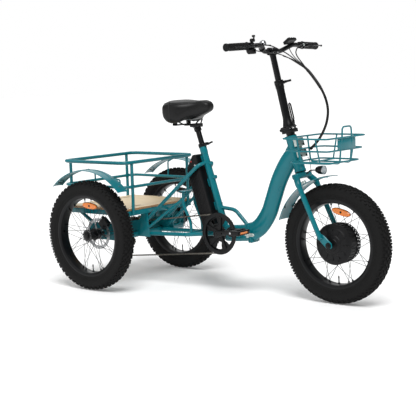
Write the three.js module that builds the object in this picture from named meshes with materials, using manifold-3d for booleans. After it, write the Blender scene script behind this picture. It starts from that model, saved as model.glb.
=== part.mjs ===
// Adult cargo tricycle with a folding frame. Millimetres; +X forward, +Y left, +Z up.
// The origin lies on the ground, midway between the front and rear axles.
import * as THREE from 'three';
import { mergeVertices } from 'three/addons/utils/BufferGeometryUtils.js';
import Module from 'manifold-3d';

const wasm = await Module();
wasm.setup();

// ---------------------------------------------------------------- driving dimensions
const GAP = 0.4;                       // play left between touching pieces
const WHEELBASE = 1246;
const TRACK = 694;                     // between the rear wheel planes
const AXLE_Z = 278;                    // 20 x 3.0 tyres
const TYRE_WIDTH = 76;
const BEAD_R = 203;
const RIM_WIDTH = 60;
const FRONT_X = WHEELBASE / 2;
const REAR_X = -WHEELBASE / 2;

const BRACKET = { x: -20, z: 288 };    // bottom bracket centre
const SEAT_TUBE_LEAN = 18.1;           // degrees back from upright
const SEAT_TUBE_TOP = 438;             // measured along the seat tube from the bracket
const SEAT_TUBE_R = 17;
const HEAD_TOP = { x: 379, z: 766 };
const HEAD_LEAN = 17.1;
const HEAD_LENGTH = 172;
const HINGE_X = 132;                   // folding hinge of the frame
const HINGE_Y = 44;
const HINGE_Z = 295;
const HINGE_TILT = 14;

const POST_FOOT = { x: 371, z: 799 };  // hinge plane of the folding handlebar post
const POST_LEAN = 13.5;
const POST_COLLAR = 212;               // along the post, above the hinge plane
const POST_TOP = 372;
const BAR_R = 11;
const GRIP_LENGTH = 140;

const CRANK = 170;
const CRANK_RISE = 10;                 // degrees above level, right arm forward
const CHAIN_Y = -57;
const RING_R = 97;                     // 48 teeth of 12.7 mm pitch
const COG_R = 28.5;                    // 14 teeth
const JOCKEY_R = 22.5;                 // 11 teeth
const CHAIN_HALF = 4;
const CHAIN_WIDTH = 7;

const DECK = { front: -457, rear: -880, half: 245, top: 406, ply: 12, bar: 25 };
const TRAY = { front: -447, rear: -886, half: 262, top: 638, mid: 516, r: 9, corner: 45, inset: 50 };
const CARRIER = { front: -540, rear: -706, z: 257, inner: 95, outer: 258, plate: 6 };

const BASKET = { rear: 442, front: 686, half: 163, top: 767, mid: 711, floor: 656, wire: 4 };

// ---------------------------------------------------------------- colours
const paint = (color, roughness, metalness) =>
  new THREE.MeshStandardMaterial({ color, roughness, metalness });
const TEAL = paint(0x1c8c94, 0.35, 0.1);
const BLACK_METAL = paint(0x17181a, 0.45, 0.4);
const BLACK_PLASTIC = paint(0x151617, 0.55, 0);
const RUBBER = paint(0x1d1e20, 0.85, 0);
const STEEL = paint(0xb9bcc0, 0.3, 1);
const SILVER = paint(0xa9b0ae, 0.35, 0.9);
const PLYWOOD = paint(0xe1cdaa, 0.6, 0);
const VINYL = paint(0x1b1b1d, 0.5, 0);
const CHAIN_STEEL = paint(0x8d8a84, 0.35, 1);

// ---------------------------------------------------------------- solids
const rad = THREE.MathUtils.degToRad;
const vec = (x, y, z) => new THREE.Vector3(x, y, z);
const mirrored = (points) => points.map(([x, y, z]) => [x, -y, z]);

function solid(geometry) {
  let g = geometry.clone();
  g.deleteAttribute('normal');
  g.deleteAttribute('uv');
  g = mergeVertices(g, 1e-3);
  return new wasm.Manifold(new wasm.Mesh({
    numProp: 3,
    vertProperties: Float32Array.from(g.attributes.position.array),
    triVerts: Uint32Array.from(g.index.array),
  }));
}

function geometryOf(manifold) {
  const mesh = manifold.getMesh();
  const g = new THREE.BufferGeometry();
  g.setAttribute('position', new THREE.BufferAttribute(mesh.vertProperties, 3));
  g.setIndex(new THREE.BufferAttribute(mesh.triVerts, 1));
  g.computeVertexNormals();
  return g;
}

const join = (...parts) => parts.flat().reduce((a, b) => a.add(b));
const cut = (from, ...tools) => tools.flat().reduce((a, b) => a.subtract(b), from);

/** A box by its centre and size, tilted about the Y axis by `tilt` degrees. */
function box([x, y, z], [sx, sy, sz], tilt = 0) {
  return solid(new THREE.BoxGeometry(sx, sy, sz).rotateY(rad(tilt)).translate(x, y, z));
}

/** A solid cylinder between two points. */
function rod(from, to, r, sides = 12) {
  const a = vec(...from);
  const b = vec(...to);
  const along = b.clone().sub(a);
  const g = new THREE.CylinderGeometry(r, r, along.length(), sides);
  const turn = new THREE.Quaternion().setFromUnitVectors(vec(0, 1, 0), along.clone().normalize());
  return solid(g.applyQuaternion(turn).translate(...a.add(b).multiplyScalar(0.5)));
}

/** A body of revolution about the Y axis; `profile` holds [radius, y] pairs. */
function turned(profile, segments, closed = false) {
  const pairs = closed ? [...profile, profile[0]] : profile;
  const points = pairs.map(([r, y]) => new THREE.Vector2(r, y));
  return solid(outward(new THREE.LatheGeometry(points, segments, Math.PI / segments)));
}

/** The same geometry with its faces pointing out, whichever way its profile ran. */
function outward(geometry) {
  const g = geometry.index ? geometry.toNonIndexed() : geometry;
  const p = g.attributes.position;
  const [a, b, c] = [vec(), vec(), vec()];
  let volume = 0;
  for (let i = 0; i < p.count; i += 3) {
    a.fromBufferAttribute(p, i);
    b.fromBufferAttribute(p, i + 1);
    c.fromBufferAttribute(p, i + 2);
    volume += a.dot(b.cross(c));
  }
  if (volume > 0) return g;
  for (let i = 0; i < p.count; i += 3) {
    b.fromBufferAttribute(p, i + 1);
    c.fromBufferAttribute(p, i + 2);
    p.setXYZ(i + 1, c.x, c.y, c.z);
    p.setXYZ(i + 2, b.x, b.y, b.z);
  }
  return g;
}

const circle = (r, sides) => Array.from({ length: sides }, (_, i) => {
  const a = (2 * Math.PI * (i + 0.5)) / sides;
  return new THREE.Vector2(r * Math.cos(a), r * Math.sin(a));
});
const oval = (rx, ry, sides) => circle(1, sides).map((p) => new THREE.Vector2(p.x * rx, p.y * ry));

/** A route given point by point, so that a sweep takes one step from each point to the next. */
class Route extends THREE.Curve {
  constructor(points) {
    super();
    this.points = points;
  }
  getPoint(t) {
    const at = t * (this.points.length - 1);
    const i = Math.min(Math.floor(at), this.points.length - 2);
    return this.points[i].clone().lerp(this.points[i + 1], at - i);
  }
  getSpacedPoints() {
    return this.points;
  }
  getTangentAt(u) {
    const i = Math.round(u * (this.points.length - 1));
    const before = this.points[Math.max(i - 1, 0)];
    const here = this.points[i];
    const after = this.points[Math.min(i + 1, this.points.length - 1)];
    const back = here.clone().sub(before).normalize();
    return after.clone().sub(here).normalize().add(back).normalize();
  }
}

/** Corner points with each inner corner rounded to `radius` by `steps` short chords. */
function rounded(corners, radius, steps = 3) {
  const p = corners.map((c) => vec(...c));
  const out = [p[0]];
  for (let i = 1; i < p.length - 1; i++) {
    const back = p[i - 1].clone().sub(p[i]);
    const on = p[i + 1].clone().sub(p[i]);
    const half = back.angleTo(on) / 2;
    const reach = Math.min(radius / Math.tan(half), back.length() * 0.49, on.length() * 0.49);
    const curve = new THREE.QuadraticBezierCurve3(
      p[i].clone().addScaledVector(back.normalize(), reach), p[i],
      p[i].clone().addScaledVector(on.normalize(), reach));
    out.push(...curve.getPoints(steps));
  }
  out.push(p[p.length - 1]);
  return out;
}

/** A section swept through the points of a route. */
function sweep(points, section) {
  return solid(outward(new THREE.ExtrudeGeometry(new THREE.Shape(section), {
    steps: points.length - 1, extrudePath: new Route(points), bevelEnabled: false,
  })));
}
const pipe = (corners, r, bend = 40, sides = 8, steps = 3) =>
  sweep(rounded(corners, bend, steps), circle(r, sides));

/** A closed ring of tube, level at height z, with rounded corners. */
function hoop(x0, x1, half, z, r, corner, sides = 8) {
  const middle = (x0 + x1) / 2;
  const loop = [[middle, -half, z], [x1, -half, z], [x1, half, z], [x0, half, z], [x0, -half, z]];
  const first = pipe([...loop.slice(0, 4), [x0, 0, z]], r, corner, sides, 2);
  const last = pipe([[x0, 1, z], [x0, -half, z], [middle + 1, -half, z]], r, corner, sides, 2);
  return join(first, last);
}

/** An outline in the XZ plane, made `width` thick about y. */
function slab(outline, y, width, holes = []) {
  const shape = new THREE.Shape(outline.map(([x, z]) => new THREE.Vector2(x, z)));
  holes.forEach((h) => shape.holes.push(new THREE.Path(h.map(([x, z]) => new THREE.Vector2(x, z)))));
  const g = new THREE.ExtrudeGeometry(shape, { depth: width, bevelEnabled: false });
  return solid(outward(g.rotateX(Math.PI / 2).translate(0, y + width / 2, 0)));
}
const ringOutline = (x, z, r, sides) => circle(r, sides).map((p) => [x + p.x, z + p.y]);

/** A curved strip about the Y axis: part of a ring between two angles above the +X direction. */
function arcStrip(r, thick, half, from, to, steps) {
  const at = (radius, a) => [radius * Math.cos(rad(a)), radius * Math.sin(rad(a))];
  const angles = Array.from({ length: steps + 1 }, (_, i) => from + ((to - from) * i) / steps);
  const outline = [...angles.map((a) => at(r + thick, a)), ...angles.reverse().map((a) => at(r, a))];
  return slab(outline, 0, half * 2);
}

// ---------------------------------------------------------------- scene helpers
const tricycle = new THREE.Group();

function add(parent, name, shape, material) {
  const mesh = new THREE.Mesh(geometryOf(shape), material);
  mesh.name = name;
  parent.add(mesh);
  return mesh;
}

/** A group whose +Z axis leans back from upright by `lean` degrees. */
function leaning({ x, z }, lean) {
  const group = new THREE.Group();
  group.position.set(x, 0, z);
  group.rotation.y = -rad(lean);
  tricycle.add(group);
  return group;
}

/** A point given in a leaning group's frame, in the tricycle's frame. */
function fromLeaning({ x, z }, lean, [lx, ly, lz]) {
  const [s, c] = [Math.sin(rad(lean)), Math.cos(rad(lean))];
  return [x + lx * c - lz * s, ly, z + lx * s + lz * c];
}
const onSeatTube = (x, y, z) => fromLeaning(BRACKET, SEAT_TUBE_LEAN, [x, y, z]);
const onHead = (x, y, z) => fromLeaning(HEAD_TOP, HEAD_LEAN, [x, y, z]);
const onPost = (x, y, z) => fromLeaning(POST_FOOT, POST_LEAN, [x, y, z]);
const sides = [['right', -1], ['left', 1]];

// ---------------------------------------------------------------- wheels
const WHEEL_SEGMENTS = 32;
const trueRound = 1 / Math.cos(Math.PI / WHEEL_SEGMENTS);   // flats stand at the stated radius

function tyre() {
  const half = TYRE_WIDTH / 2;
  const crown = AXLE_Z * trueRound;
  const mid = crown - half;
  const side = [[BEAD_R * trueRound, 27], [mid, half], [mid + 24, half - 9], [crown, 9]];
  return turned([...side, ...side.map(([r, y]) => [r, -y]).reverse()], WHEEL_SEGMENTS, true);
}

/** The rim with its spokes, laced from flanges at radius `flange`, `spread` either side. */
function lacedRim(flange, spread, count) {
  const half = RIM_WIDTH / 2;
  const outer = (BEAD_R - 1) * trueRound;
  const section = [[outer, half - 3], [outer - 11, half - 5]];
  const rim = turned([...section, ...section.map(([r, y]) => [r, -y]).reverse()], WHEEL_SEGMENTS, true);
  const spokes = [];
  for (let i = 0; i < count; i++) {
    const side = i % 2 ? 1 : -1;
    const trailing = Math.floor(i / 2) % 2;
    const lean = (trailing ? 1 : -1) * rad(flange > 60 ? 14 : 26);
    const a = (2 * Math.PI * i) / count;
    const hubY = side * (spread + (trailing ? 3 : 0));
    const hub = [Math.cos(a) * (flange + 1.5), hubY, Math.sin(a) * (flange + 1.5)];
    const tip = [Math.cos(a + lean) * (outer - 7), side * (trailing ? 9 : 4), Math.sin(a + lean) * (outer - 7)];
    spokes.push(rod(hub, tip, 1.4, 3));
  }
  return join(rim, spokes);
}

function wheel(x, y, name, flange, spread, count) {
  const group = new THREE.Group();
  group.position.set(x, y, AXLE_Z);
  if (y < 0) group.rotation.z = Math.PI;
  tricycle.add(group);
  add(group, `${name}_tyre`, tyre(), RUBBER);
  add(group, `${name}_rim`, lacedRim(flange, spread, count), BLACK_METAL);
  return group;
}

/** A rear hub: dust cap outboard, brake rotor and half shaft inboard. */
function rearHub() {
  const inner = -(TRACK / 2 - 6);
  return turned([
    [0, 37], [15, 36], [17, 26], [30, 25], [30, 20], [21, 18], [21, -18], [30, -20], [30, -25],
    [22, -27], [22, -54], [79, -54], [79, -56], [22, -56], [9, -61], [9, inner], [0, inner],
  ], 16);
}

for (const [side, sign] of sides) {
  const group = wheel(REAR_X, (sign * TRACK) / 2, `rear_${side}`, 30, 21, 16);
  add(group, `rear_${side}_hub`, rearHub(), BLACK_METAL);
}

const MOTOR_R = 92;
const frontWheel = wheel(FRONT_X, 0, 'front', MOTOR_R, 22, 16);
const motorSide = [[MOTOR_R, 26], [MOTOR_R - 10, 34], [36, 41], [28, 48], [8, 48]];
add(frontWheel, 'front_hub_motor',
  turned([...motorSide, ...motorSide.map(([r, y]) => [r, -y]).reverse()], 24, true), BLACK_METAL);
add(frontWheel, 'front_brake_disc',
  turned([[9, 49], [24, 49], [24, 56], [91, 56], [91, 58], [9, 58]], 24, true), STEEL);

// ---------------------------------------------------------------- rear frame
const STAY_R = 9;
const hingePlate = (x) => box([x, 0, HINGE_Z], [9, 60, 96], -HINGE_TILT);
/** All the space inboard of the knuckles that lies past the hinge plane, ahead (+1) or behind (-1). */
const pastHinge = (sign) =>
  box([HINGE_X + sign * 59.8, HINGE_Y - 56, HINGE_Z], [120, 90, 160], -HINGE_TILT);

/** A knuckle of the frame hinge, with the web that ties it to the plate at x. */
function knuckle(x, low, high) {
  const pin = rod([HINGE_X, HINGE_Y, low], [HINGE_X, HINGE_Y, high], 8.5, 12);
  const middle = (low + high) / 2;
  const tiltShift = -(middle - HINGE_Z) * Math.tan(rad(HINGE_TILT));
  const web = box([(x + tiltShift + HINGE_X) / 2, (HINGE_Y + 24) / 2, middle],
    [Math.abs(x + tiltShift - HINGE_X) + 8, HINGE_Y - 24, high - low]);
  return join(pin, web);
}

function rearFrame() {
  const seatTube = rod(onSeatTube(0, 0, 0), onSeatTube(0, 0, SEAT_TUBE_TOP), SEAT_TUBE_R, 12);
  const bore = rod(onSeatTube(0, 0, 150), onSeatTube(0, 0, SEAT_TUBE_TOP + 5), 14.6, 12);
  const shell = rod([BRACKET.x, -36, BRACKET.z], [BRACKET.x, 36, BRACKET.z], 23, 14);
  const axle = rod([BRACKET.x, -40, BRACKET.z], [BRACKET.x, 40, BRACKET.z], 10, 12);
  const plateX = HINGE_X - 5.2;
  const boom = sweep(
    [vec(BRACKET.x, 0, BRACKET.z - 4), vec(60, 0, 288), vec(plateX + 1, 0, HINGE_Z)], oval(24, 41, 8));
  const arch = pipe([onSeatTube(0, 0, 128), [36, 0, 402], [100, 0, 340], [plateX - 6, 0, 318]], 9.5, 70, 6, 4);
  const lugs = [350, 280].map((s) =>
    rod(onSeatTube(8, 0, s), onSeatTube(30, 0, s - 4), 10, 6));
  const rails = [140, 260, 380].map((s) => {
    const [x, , z] = onSeatTube(-18, 0, s);
    return box([x, 0, z], [8, 24, 40], -SEAT_TUBE_LEAN);
  });
  const halves = sides.map(([, y]) => {
    const seatStay = pipe(
      [onSeatTube(-2, y * 12, 360), onSeatTube(-16, y * 59, 352), [CARRIER.front + 62, y * 82, 330]],
      STAY_R, 34, 6, 2);
    const chainStay = pipe([[-30, y * 24, 282], [-126, y * 32, 275], [-230, y * 62, 268],
      [CARRIER.front + 14, y * 80, 258]], 10, 60, 6, 1);
    const upright = pipe([[-214, y * 44, 271], [-216, y * 44, 330], [-262, y * 44, 420], [-258, y * 44, 482]],
      7.5, 90, 5, 2);
    const brace = pipe([[-260, y * 44, 446], [CARRIER.front + 80, y * 83, 296]], 7.5, 40, 5);
    return [seatStay, chainStay, upright, brace];
  });
  const bridge = box([-257, 0, 484], [46, 124, 5]);
  const tie = rod([-214, -52, 276], [-214, 52, 276], 8, 8);
  const plate = hingePlate(plateX);
  const body = join(seatTube, shell, boom, arch, lugs, rails, plate, halves.flat(), bridge, tie,
    knuckle(plateX, HINGE_Z - 16, HINGE_Z + 16));
  return cut(body, bore, axle, pastHinge(1));
}
add(tricycle, 'rear_frame', rearFrame(), TEAL);

/** The carrier: deck frame on top, bearing plates and cross tubes around the rear axle. */
function rearCarrier() {
  const { front, rear, half, top, ply, bar } = DECK;
  const z = top - ply - GAP - bar / 2;
  const length = front - rear;
  const middle = (front + rear) / 2;
  const edges = [front - bar / 2, rear + bar / 2, middle].map((x) => box([x, 0, z], [bar, 2 * half, bar]));
  const rails = sides.map(([, y]) => box([middle, y * (half - bar / 2), z], [length, bar, bar]));
  const crossTubes = [CARRIER.front, CARRIER.rear].map((x) =>
    box([x, 0, CARRIER.z], [bar, 2 * CARRIER.outer, bar]));
  const outline = [[CARRIER.front + 90, 246], [front - 2, 330], [front - 2, z], [front - bar, z],
    [-520, 330], [-600, 318], [-700, 318], [-722, 300], [-722, 240]];
  const outerOutline = [[-528, 244], [-528, 322], [-576, 330], [-700, 330], [-722, 300], [-722, 244]];
  const hole = [ringOutline(REAR_X, AXLE_Z, 12, 16)];
  const plates = sides.flatMap(([, y]) => [
    slab(outline, y * CARRIER.inner, CARRIER.plate, hole),
    slab(outerOutline, y * CARRIER.outer, CARRIER.plate, hole),
  ]);
  const struts = sides.flatMap(([, y]) => [
    pipe([[CARRIER.rear, y * (half - 14), CARRIER.z], [CARRIER.rear - 4, y * (half - 14), 318],
      [rear + 60, y * (half - 14), z]], 9, 30),
    pipe([[CARRIER.front, y * (half - 14), CARRIER.z], [front - 40, y * (half - 14), z]], 9),
  ]);
  return join(edges, rails, crossTubes, plates, struts);
}
add(tricycle, 'rear_carrier', rearCarrier(), TEAL);

add(tricycle, 'cargo_deck', box(
  [(DECK.front + DECK.rear) / 2, 0, DECK.top - DECK.ply / 2],
  [DECK.front - DECK.rear, 2 * DECK.half, DECK.ply]), PLYWOOD);

function cargoTray() {
  const { front, rear, half, top, mid, r, corner, inset } = TRAY;
  const rings = [top, mid].map((z) => hoop(rear, front, half, z, z === top ? r : r - 1.5, corner, 5));
  const foot = DECK.top - DECK.ply - DECK.bar + 4;
  const posts = [];
  for (const [x, deckEdge] of [[front, DECK.front], [rear, DECK.rear]]) {
    for (const [, y] of sides) {
      const out = deckEdge + Math.sign(x - deckEdge) * (r - 1 + GAP);
      posts.push(pipe([[x, y * (half - inset), top], [x, y * (half - inset), mid - 60],
        [out, y * (half - inset), foot + 30], [out, y * (half - inset), foot]], r - 1, 200, 5, 1));
    }
  }
  return join(rings, posts);
}
add(tricycle, 'cargo_tray', cargoTray(), TEAL);

// ---------------------------------------------------------------- rear mudguards and brakes
const GUARD = { r: 330, thick: 3, half: 33, from: 44, to: 133 };

/** A rear mudguard about its wheel centre; `inward` is +1 where the tray lies towards +Y. */
function rearGuard(inward) {
  const strip = arcStrip(GUARD.r, GUARD.thick, GUARD.half, GUARD.from, GUARD.to, 12);
  const trayY = TRACK / 2 - TRAY.half - TRAY.r - GAP;
  const arms = [62, 93].map((a) => {
    const top = [Math.cos(rad(a)) * (GUARD.r + 1), inward * 20, Math.sin(rad(a)) * (GUARD.r + 1)];
    const low = [top[0], inward * trayY, TRAY.mid - AXLE_Z];
    return pipe([top, [top[0], inward * (trayY - 8), top[2] - 14], [low[0], low[1] - inward * 6, low[2] + 4], low],
      4, 10, 4, 1);
  });
  return join(strip, arms);
}

/** A brake caliper straddling a rotor whose plane is y = 0; it reaches over the rotor's edge. */
function caliper(rotorR, armSide) {
  const body = box([rotorR - 6, 0, 0], [44, 30, 46]);
  const slot = box([rotorR - 22, 0, 0], [60, 5, 60]);
  const piston = rod([rotorR - 10, armSide * 14, 0], [rotorR - 10, armSide * 26, 0], 14, 14);
  const barrel = rod([rotorR + 12, 0, -22], [rotorR + 12, 0, 30], 7, 10);
  return join(cut(body, slot), piston, barrel);
}

for (const [side, sign] of sides) {
  const centre = new THREE.Group();
  centre.position.set(REAR_X, (sign * TRACK) / 2, AXLE_Z);
  tricycle.add(centre);
  add(centre, `rear_${side}_mudguard`, rearGuard(-sign), TEAL);
  const brake = new THREE.Group();
  brake.position.y = -sign * 55;
  brake.rotation.y = -rad(50);
  centre.add(brake);
  add(brake, `rear_${side}_caliper`, caliper(79, -sign), BLACK_METAL);
}

// ---------------------------------------------------------------- seat
const seatFrame = leaning(BRACKET, SEAT_TUBE_LEAN);
const SADDLE = { back: -340, nose: -88, top: 940, under: 838, half: 122 };
const POST_R = 13.6;
const SEAT_POST_TOP = 556;

add(seatFrame, 'seat_post', rod([0, 0, 230], [0, 0, SEAT_POST_TOP], POST_R, 16), BLACK_METAL);

function seatClamp() {
  const collar = rod([0, 0, SEAT_TUBE_TOP + GAP], [0, 0, SEAT_TUBE_TOP + 18], 20, 16);
  const bore = rod([0, 0, SEAT_TUBE_TOP], [0, 0, SEAT_TUBE_TOP + 20], 14.4, 16);
  const ears = box([25, 0, SEAT_TUBE_TOP + 9], [18, 16, 14]);
  return cut(join(collar, ears), bore);
}
add(seatFrame, 'seat_clamp', seatClamp(), BLACK_METAL);

/** A cam lever lying along +X from its pivot pin, which stands along Z at the origin. */
function camLever(length, width) {
  const cam = rod([0, 0, -6], [0, 0, 6], 7, 12);
  const blade = box([length / 2, 0, 0], [length, 5, width]);
  return join(cam, blade);
}
const seatLever = add(seatFrame, 'seat_clamp_lever', camLever(34, 9), BLACK_METAL);
seatLever.position.set(25, 16, SEAT_TUBE_TOP + 9);
seatLever.rotation.z = rad(-8);

/** The saddle shell: half-width and depth change along its length. */
function saddle() {
  const stations = [
    [0.00, 0.66, 0.30, 0.84], [0.07, 0.92, 0.10, 0.97], [0.22, 1.00, 0.00, 1.00],
    [0.45, 0.92, 0.02, 0.96], [0.62, 0.58, 0.12, 0.95], [0.80, 0.34, 0.32, 1.00],
    [0.94, 0.25, 0.50, 0.96], [1.00, 0.12, 0.60, 0.80],
  ];
  const around = 14;
  const rings = stations.map(([t, wide, low, high]) => {
    const x = THREE.MathUtils.lerp(SADDLE.back, SADDLE.nose, t);
    const bottom = THREE.MathUtils.lerp(SADDLE.under, SADDLE.top, low);
    const top = THREE.MathUtils.lerp(SADDLE.under, SADDLE.top, high);
    return Array.from({ length: around }, (_, i) => {
      const a = (2 * Math.PI * i) / around;
      const bulge = (v) => Math.sign(v) * Math.abs(v) ** 0.75;
      return vec(x, SADDLE.half * wide * bulge(Math.cos(a)), (top + bottom) / 2 + ((top - bottom) / 2) * bulge(Math.sin(a)));
    });
  });
  return solid(outward(loft(rings)));
}

/** Skin over a row of equal rings, closed by a fan at each end. */
function loft(rings) {
  const n = rings[0].length;
  const points = [];
  const middle = (ring) => ring.reduce((a, p) => a.add(p), vec(0, 0, 0)).multiplyScalar(1 / n);
  for (let k = 0; k < rings.length - 1; k++) {
    for (let i = 0; i < n; i++) {
      const [a, b] = [rings[k][i], rings[k][(i + 1) % n]];
      const [c, d] = [rings[k + 1][i], rings[k + 1][(i + 1) % n]];
      points.push(a, b, c, b, d, c);
    }
  }
  for (const [ring, flip] of [[rings[0], true], [rings[rings.length - 1], false]]) {
    const centre = middle(ring.map((p) => p.clone()));
    for (let i = 0; i < n; i++) {
      const [a, b] = [ring[i], ring[(i + 1) % n]];
      points.push(...(flip ? [centre, b, a] : [centre, a, b]));
    }
  }
  return new THREE.BufferGeometry().setFromPoints(points);
}
add(tricycle, 'saddle', saddle(), VINYL);

/** Two steel rails under the saddle, the clamp on the post and the rear bumpers. */
function saddleRails() {
  const top = SADDLE.under - 9;
  const [cx, , cz] = onSeatTube(0, 0, SEAT_POST_TOP - 12);
  const rails = sides.map(([, y]) => pipe([[SADDLE.nose - 74, y * 10, top + 9], [-170, y * 22, top - 14],
    [-250, y * 22, top - 16], [-290, y * 40, top + 1]], 3.5, 20, 5, 1));
  const clamp = box([cx - 4, 0, top - 17], [42, 56, 18]);
  const head = rod(onSeatTube(0, 0, SEAT_POST_TOP - 34), onSeatTube(0, 0, SEAT_POST_TOP + 6), 19, 12);
  const bumpers = sides.map(([, y]) => rod([-288, y * 52, top - 18], [-288, y * 52, top + 4], 12, 10));
  const yoke = box([-288, 0, top - 14], [10, 110, 7]);
  const bore = rod(onSeatTube(0, 0, SEAT_POST_TOP - 60), onSeatTube(0, 0, SEAT_POST_TOP + GAP), POST_R + GAP, 16);
  return cut(join(clamp, head, rails, yoke, bumpers), bore, saddleClear());
}
const saddleClear = () => box([(SADDLE.back + SADDLE.nose) / 2, 0, 900], [400, 300, 2 * (900 - SADDLE.under) + 0.6]);
add(tricycle, 'saddle_rails', saddleRails(), BLACK_METAL);

// ---------------------------------------------------------------- battery
const BATTERY = { front: -25, rear: -106, low: 52, shoulder: 352, top: 413, half: 45 };
function battery() {
  const { front, rear, low, shoulder, top, half } = BATTERY;
  const outline = [[front, low], [front, top - 6], [front - 8, top], [front - 22, top],
    [rear + 8, shoulder + 14], [rear, shoulder], [rear, low + 10], [rear + 10, low]];
  const shape = new THREE.Shape(outline.map(([x, z]) => new THREE.Vector2(x, z)));
  const bevel = 8;
  const g = new THREE.ExtrudeGeometry(shape, {
    depth: 2 * (half - bevel), bevelThickness: bevel, bevelSize: bevel, bevelOffset: -bevel, bevelSegments: 2,
  });
  return solid(outward(g.rotateX(Math.PI / 2).translate(0, half - bevel, 0)));
}
add(seatFrame, 'battery', battery(), BLACK_PLASTIC);

// ---------------------------------------------------------------- cranks, chain and gears
const crankset = new THREE.Group();
crankset.position.set(BRACKET.x, 0, BRACKET.z);
crankset.rotation.y = -rad(CRANK_RISE);
tricycle.add(crankset);

function chainring() {
  const windows = Array.from({ length: 5 }, (_, i) => {
    const at = (a, r) => [r * Math.cos(rad(a + 72 * i)), r * Math.sin(rad(a + 72 * i))];
    return [at(14, 42), at(20, 76), at(52, 76), at(58, 42)];
  });
  const body = slab(ringOutline(0, 0, RING_R - CHAIN_HALF - 2, 30), CHAIN_Y, 4, windows);
  const guard = slab(ringOutline(0, 0, 104, 30), CHAIN_Y - 8, 3, [ringOutline(0, 0, 84, 30).reverse()]);
  const posts = Array.from({ length: 5 }, (_, i) => {
    const [x, z] = [86.5 * Math.cos(rad(72 * i)), 86.5 * Math.sin(rad(72 * i))];
    return rod([x, CHAIN_Y - 9, z], [x, CHAIN_Y + 1, z], 3, 4);
  });
  const hole = rod([0, -80, 0], [0, -40, 0], 12, 16);
  return cut(join(body, guard, posts), hole);
}
add(crankset, 'chainring', chainring(), BLACK_METAL);

/** A crank arm along +X from the bracket to its pedal, on the side of `sign`. */
function crankArm(sign, inner) {
  const y = sign * 84;
  const arm = slab([[-17, -15], [-17, 15], [20, 15], [CRANK - 8, 10.5], [CRANK + 10, 9], [CRANK + 13, 0],
    [CRANK + 10, -9], [CRANK - 8, -10.5], [20, -15]], y, 14);
  const boss = rod([0, sign * inner, 0], [0, y, 0], sign < 0 ? 11.5 : 9, 16);
  const pin = rod([CRANK, y, 0], [CRANK, sign * 188, 0], 5, 8);
  return join(arm, boss, pin);
}
add(crankset, 'crank_arm_right', crankArm(-1, 41), BLACK_METAL);
add(crankset, 'crank_arm_left', crankArm(1, -40.4), BLACK_METAL).rotation.y = Math.PI;

/** A platform pedal about its spindle, which lies along Y at the origin. */
function pedal() {
  const frame = box([0, 0, 0], [96, 92, 22]);
  const windows = [-1, 1].map((s) => box([s * 25, 0, 0], [26, 66, 40]));
  const spindle = rod([0, -60, 0], [0, 60, 0], 5.8, 10);
  return cut(frame, windows, spindle);
}
for (const [side, sign] of sides) {
  const mesh = add(tricycle, `pedal_${side}`, pedal(), BLACK_PLASTIC);
  const reach = -sign * CRANK;
  mesh.position.set(BRACKET.x + reach * Math.cos(rad(CRANK_RISE)), sign * 141,
    BRACKET.z + reach * Math.sin(rad(CRANK_RISE)));
}

/** A closed route around pulleys [x, z, radius, turn], as points with their outward normals. */
function beltRoute(pulleys, stepAngle) {
  const legs = pulleys.map(([x1, z1, r1, s1], i) => {
    const [x2, z2, r2, s2] = pulleys[(i + 1) % pulleys.length];
    const [dx, dz] = [x2 - x1, z2 - z1];
    const lean = Math.asin((s1 * r1 - s2 * r2) / Math.hypot(dx, dz));
    return Math.atan2(dz, dx) - Math.PI / 2 + lean;
  });
  return pulleys.flatMap(([x, z, r, s], i) => {
    const from = legs[(i + pulleys.length - 1) % pulleys.length];
    let sweepAngle = legs[i] - from;
    while (s * sweepAngle < 0) sweepAngle += s * 2 * Math.PI;
    while (s * sweepAngle > 2 * Math.PI) sweepAngle -= s * 2 * Math.PI;
    const steps = Math.max(2, Math.ceil(Math.abs(sweepAngle) / stepAngle));
    return Array.from({ length: steps + 1 }, (_, k) => {
      const a = from + (sweepAngle * k) / steps;
      const n = [Math.cos(a), Math.sin(a)];
      return { at: [x + s * r * n[0], z + s * r * n[1]], n };
    });
  });
}

const UPPER_JOCKEY = { x: REAR_X + 8, z: 208 };
const LOWER_JOCKEY = { x: REAR_X - 8, z: 151 };
const pulleys = [
  [BRACKET.x, BRACKET.z, RING_R, 1], [REAR_X, AXLE_Z, COG_R, 1],
  [UPPER_JOCKEY.x, UPPER_JOCKEY.z, JOCKEY_R, -1], [LOWER_JOCKEY.x, LOWER_JOCKEY.z, JOCKEY_R, 1],
];
const route = beltRoute(pulleys, rad(14));
const offset = (d) => route.map(({ at, n }) => [at[0] + d * n[0], at[1] + d * n[1]]);
add(tricycle, 'chain',
  slab(offset(CHAIN_HALF), CHAIN_Y, CHAIN_WIDTH, [offset(-CHAIN_HALF).reverse()]), CHAIN_STEEL);

/** Seven sprockets and the differential drum, with a bore for the two half shafts. */
function cassette() {
  const smallest = COG_R - CHAIN_HALF - 1.5;
  const past = CHAIN_Y + CHAIN_WIDTH / 2 + 1.5;
  return turned([[10.5, -69], [17, -69], [smallest, -60], [smallest, past], [34, past], [57, -24], [57, -20],
    [30, -17], [48, -12], [48, 42], [20, 50], [20, 70], [10.5, 70]], 20, true);
}
add(tricycle, 'cassette', cassette(), BLACK_METAL).position.set(REAR_X, 0, AXLE_Z);

function jockey() {
  return turned([[4.6, -3], [JOCKEY_R - CHAIN_HALF - 1.2, -3], [JOCKEY_R - CHAIN_HALF - 1.2, 3], [4.6, 3]], 18, true);
}
for (const [name, at] of [['guide_pulley', UPPER_JOCKEY], ['tension_pulley', LOWER_JOCKEY]]) {
  add(tricycle, name, jockey(), BLACK_PLASTIC).position.set(at.x, CHAIN_Y, at.z);
}

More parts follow.
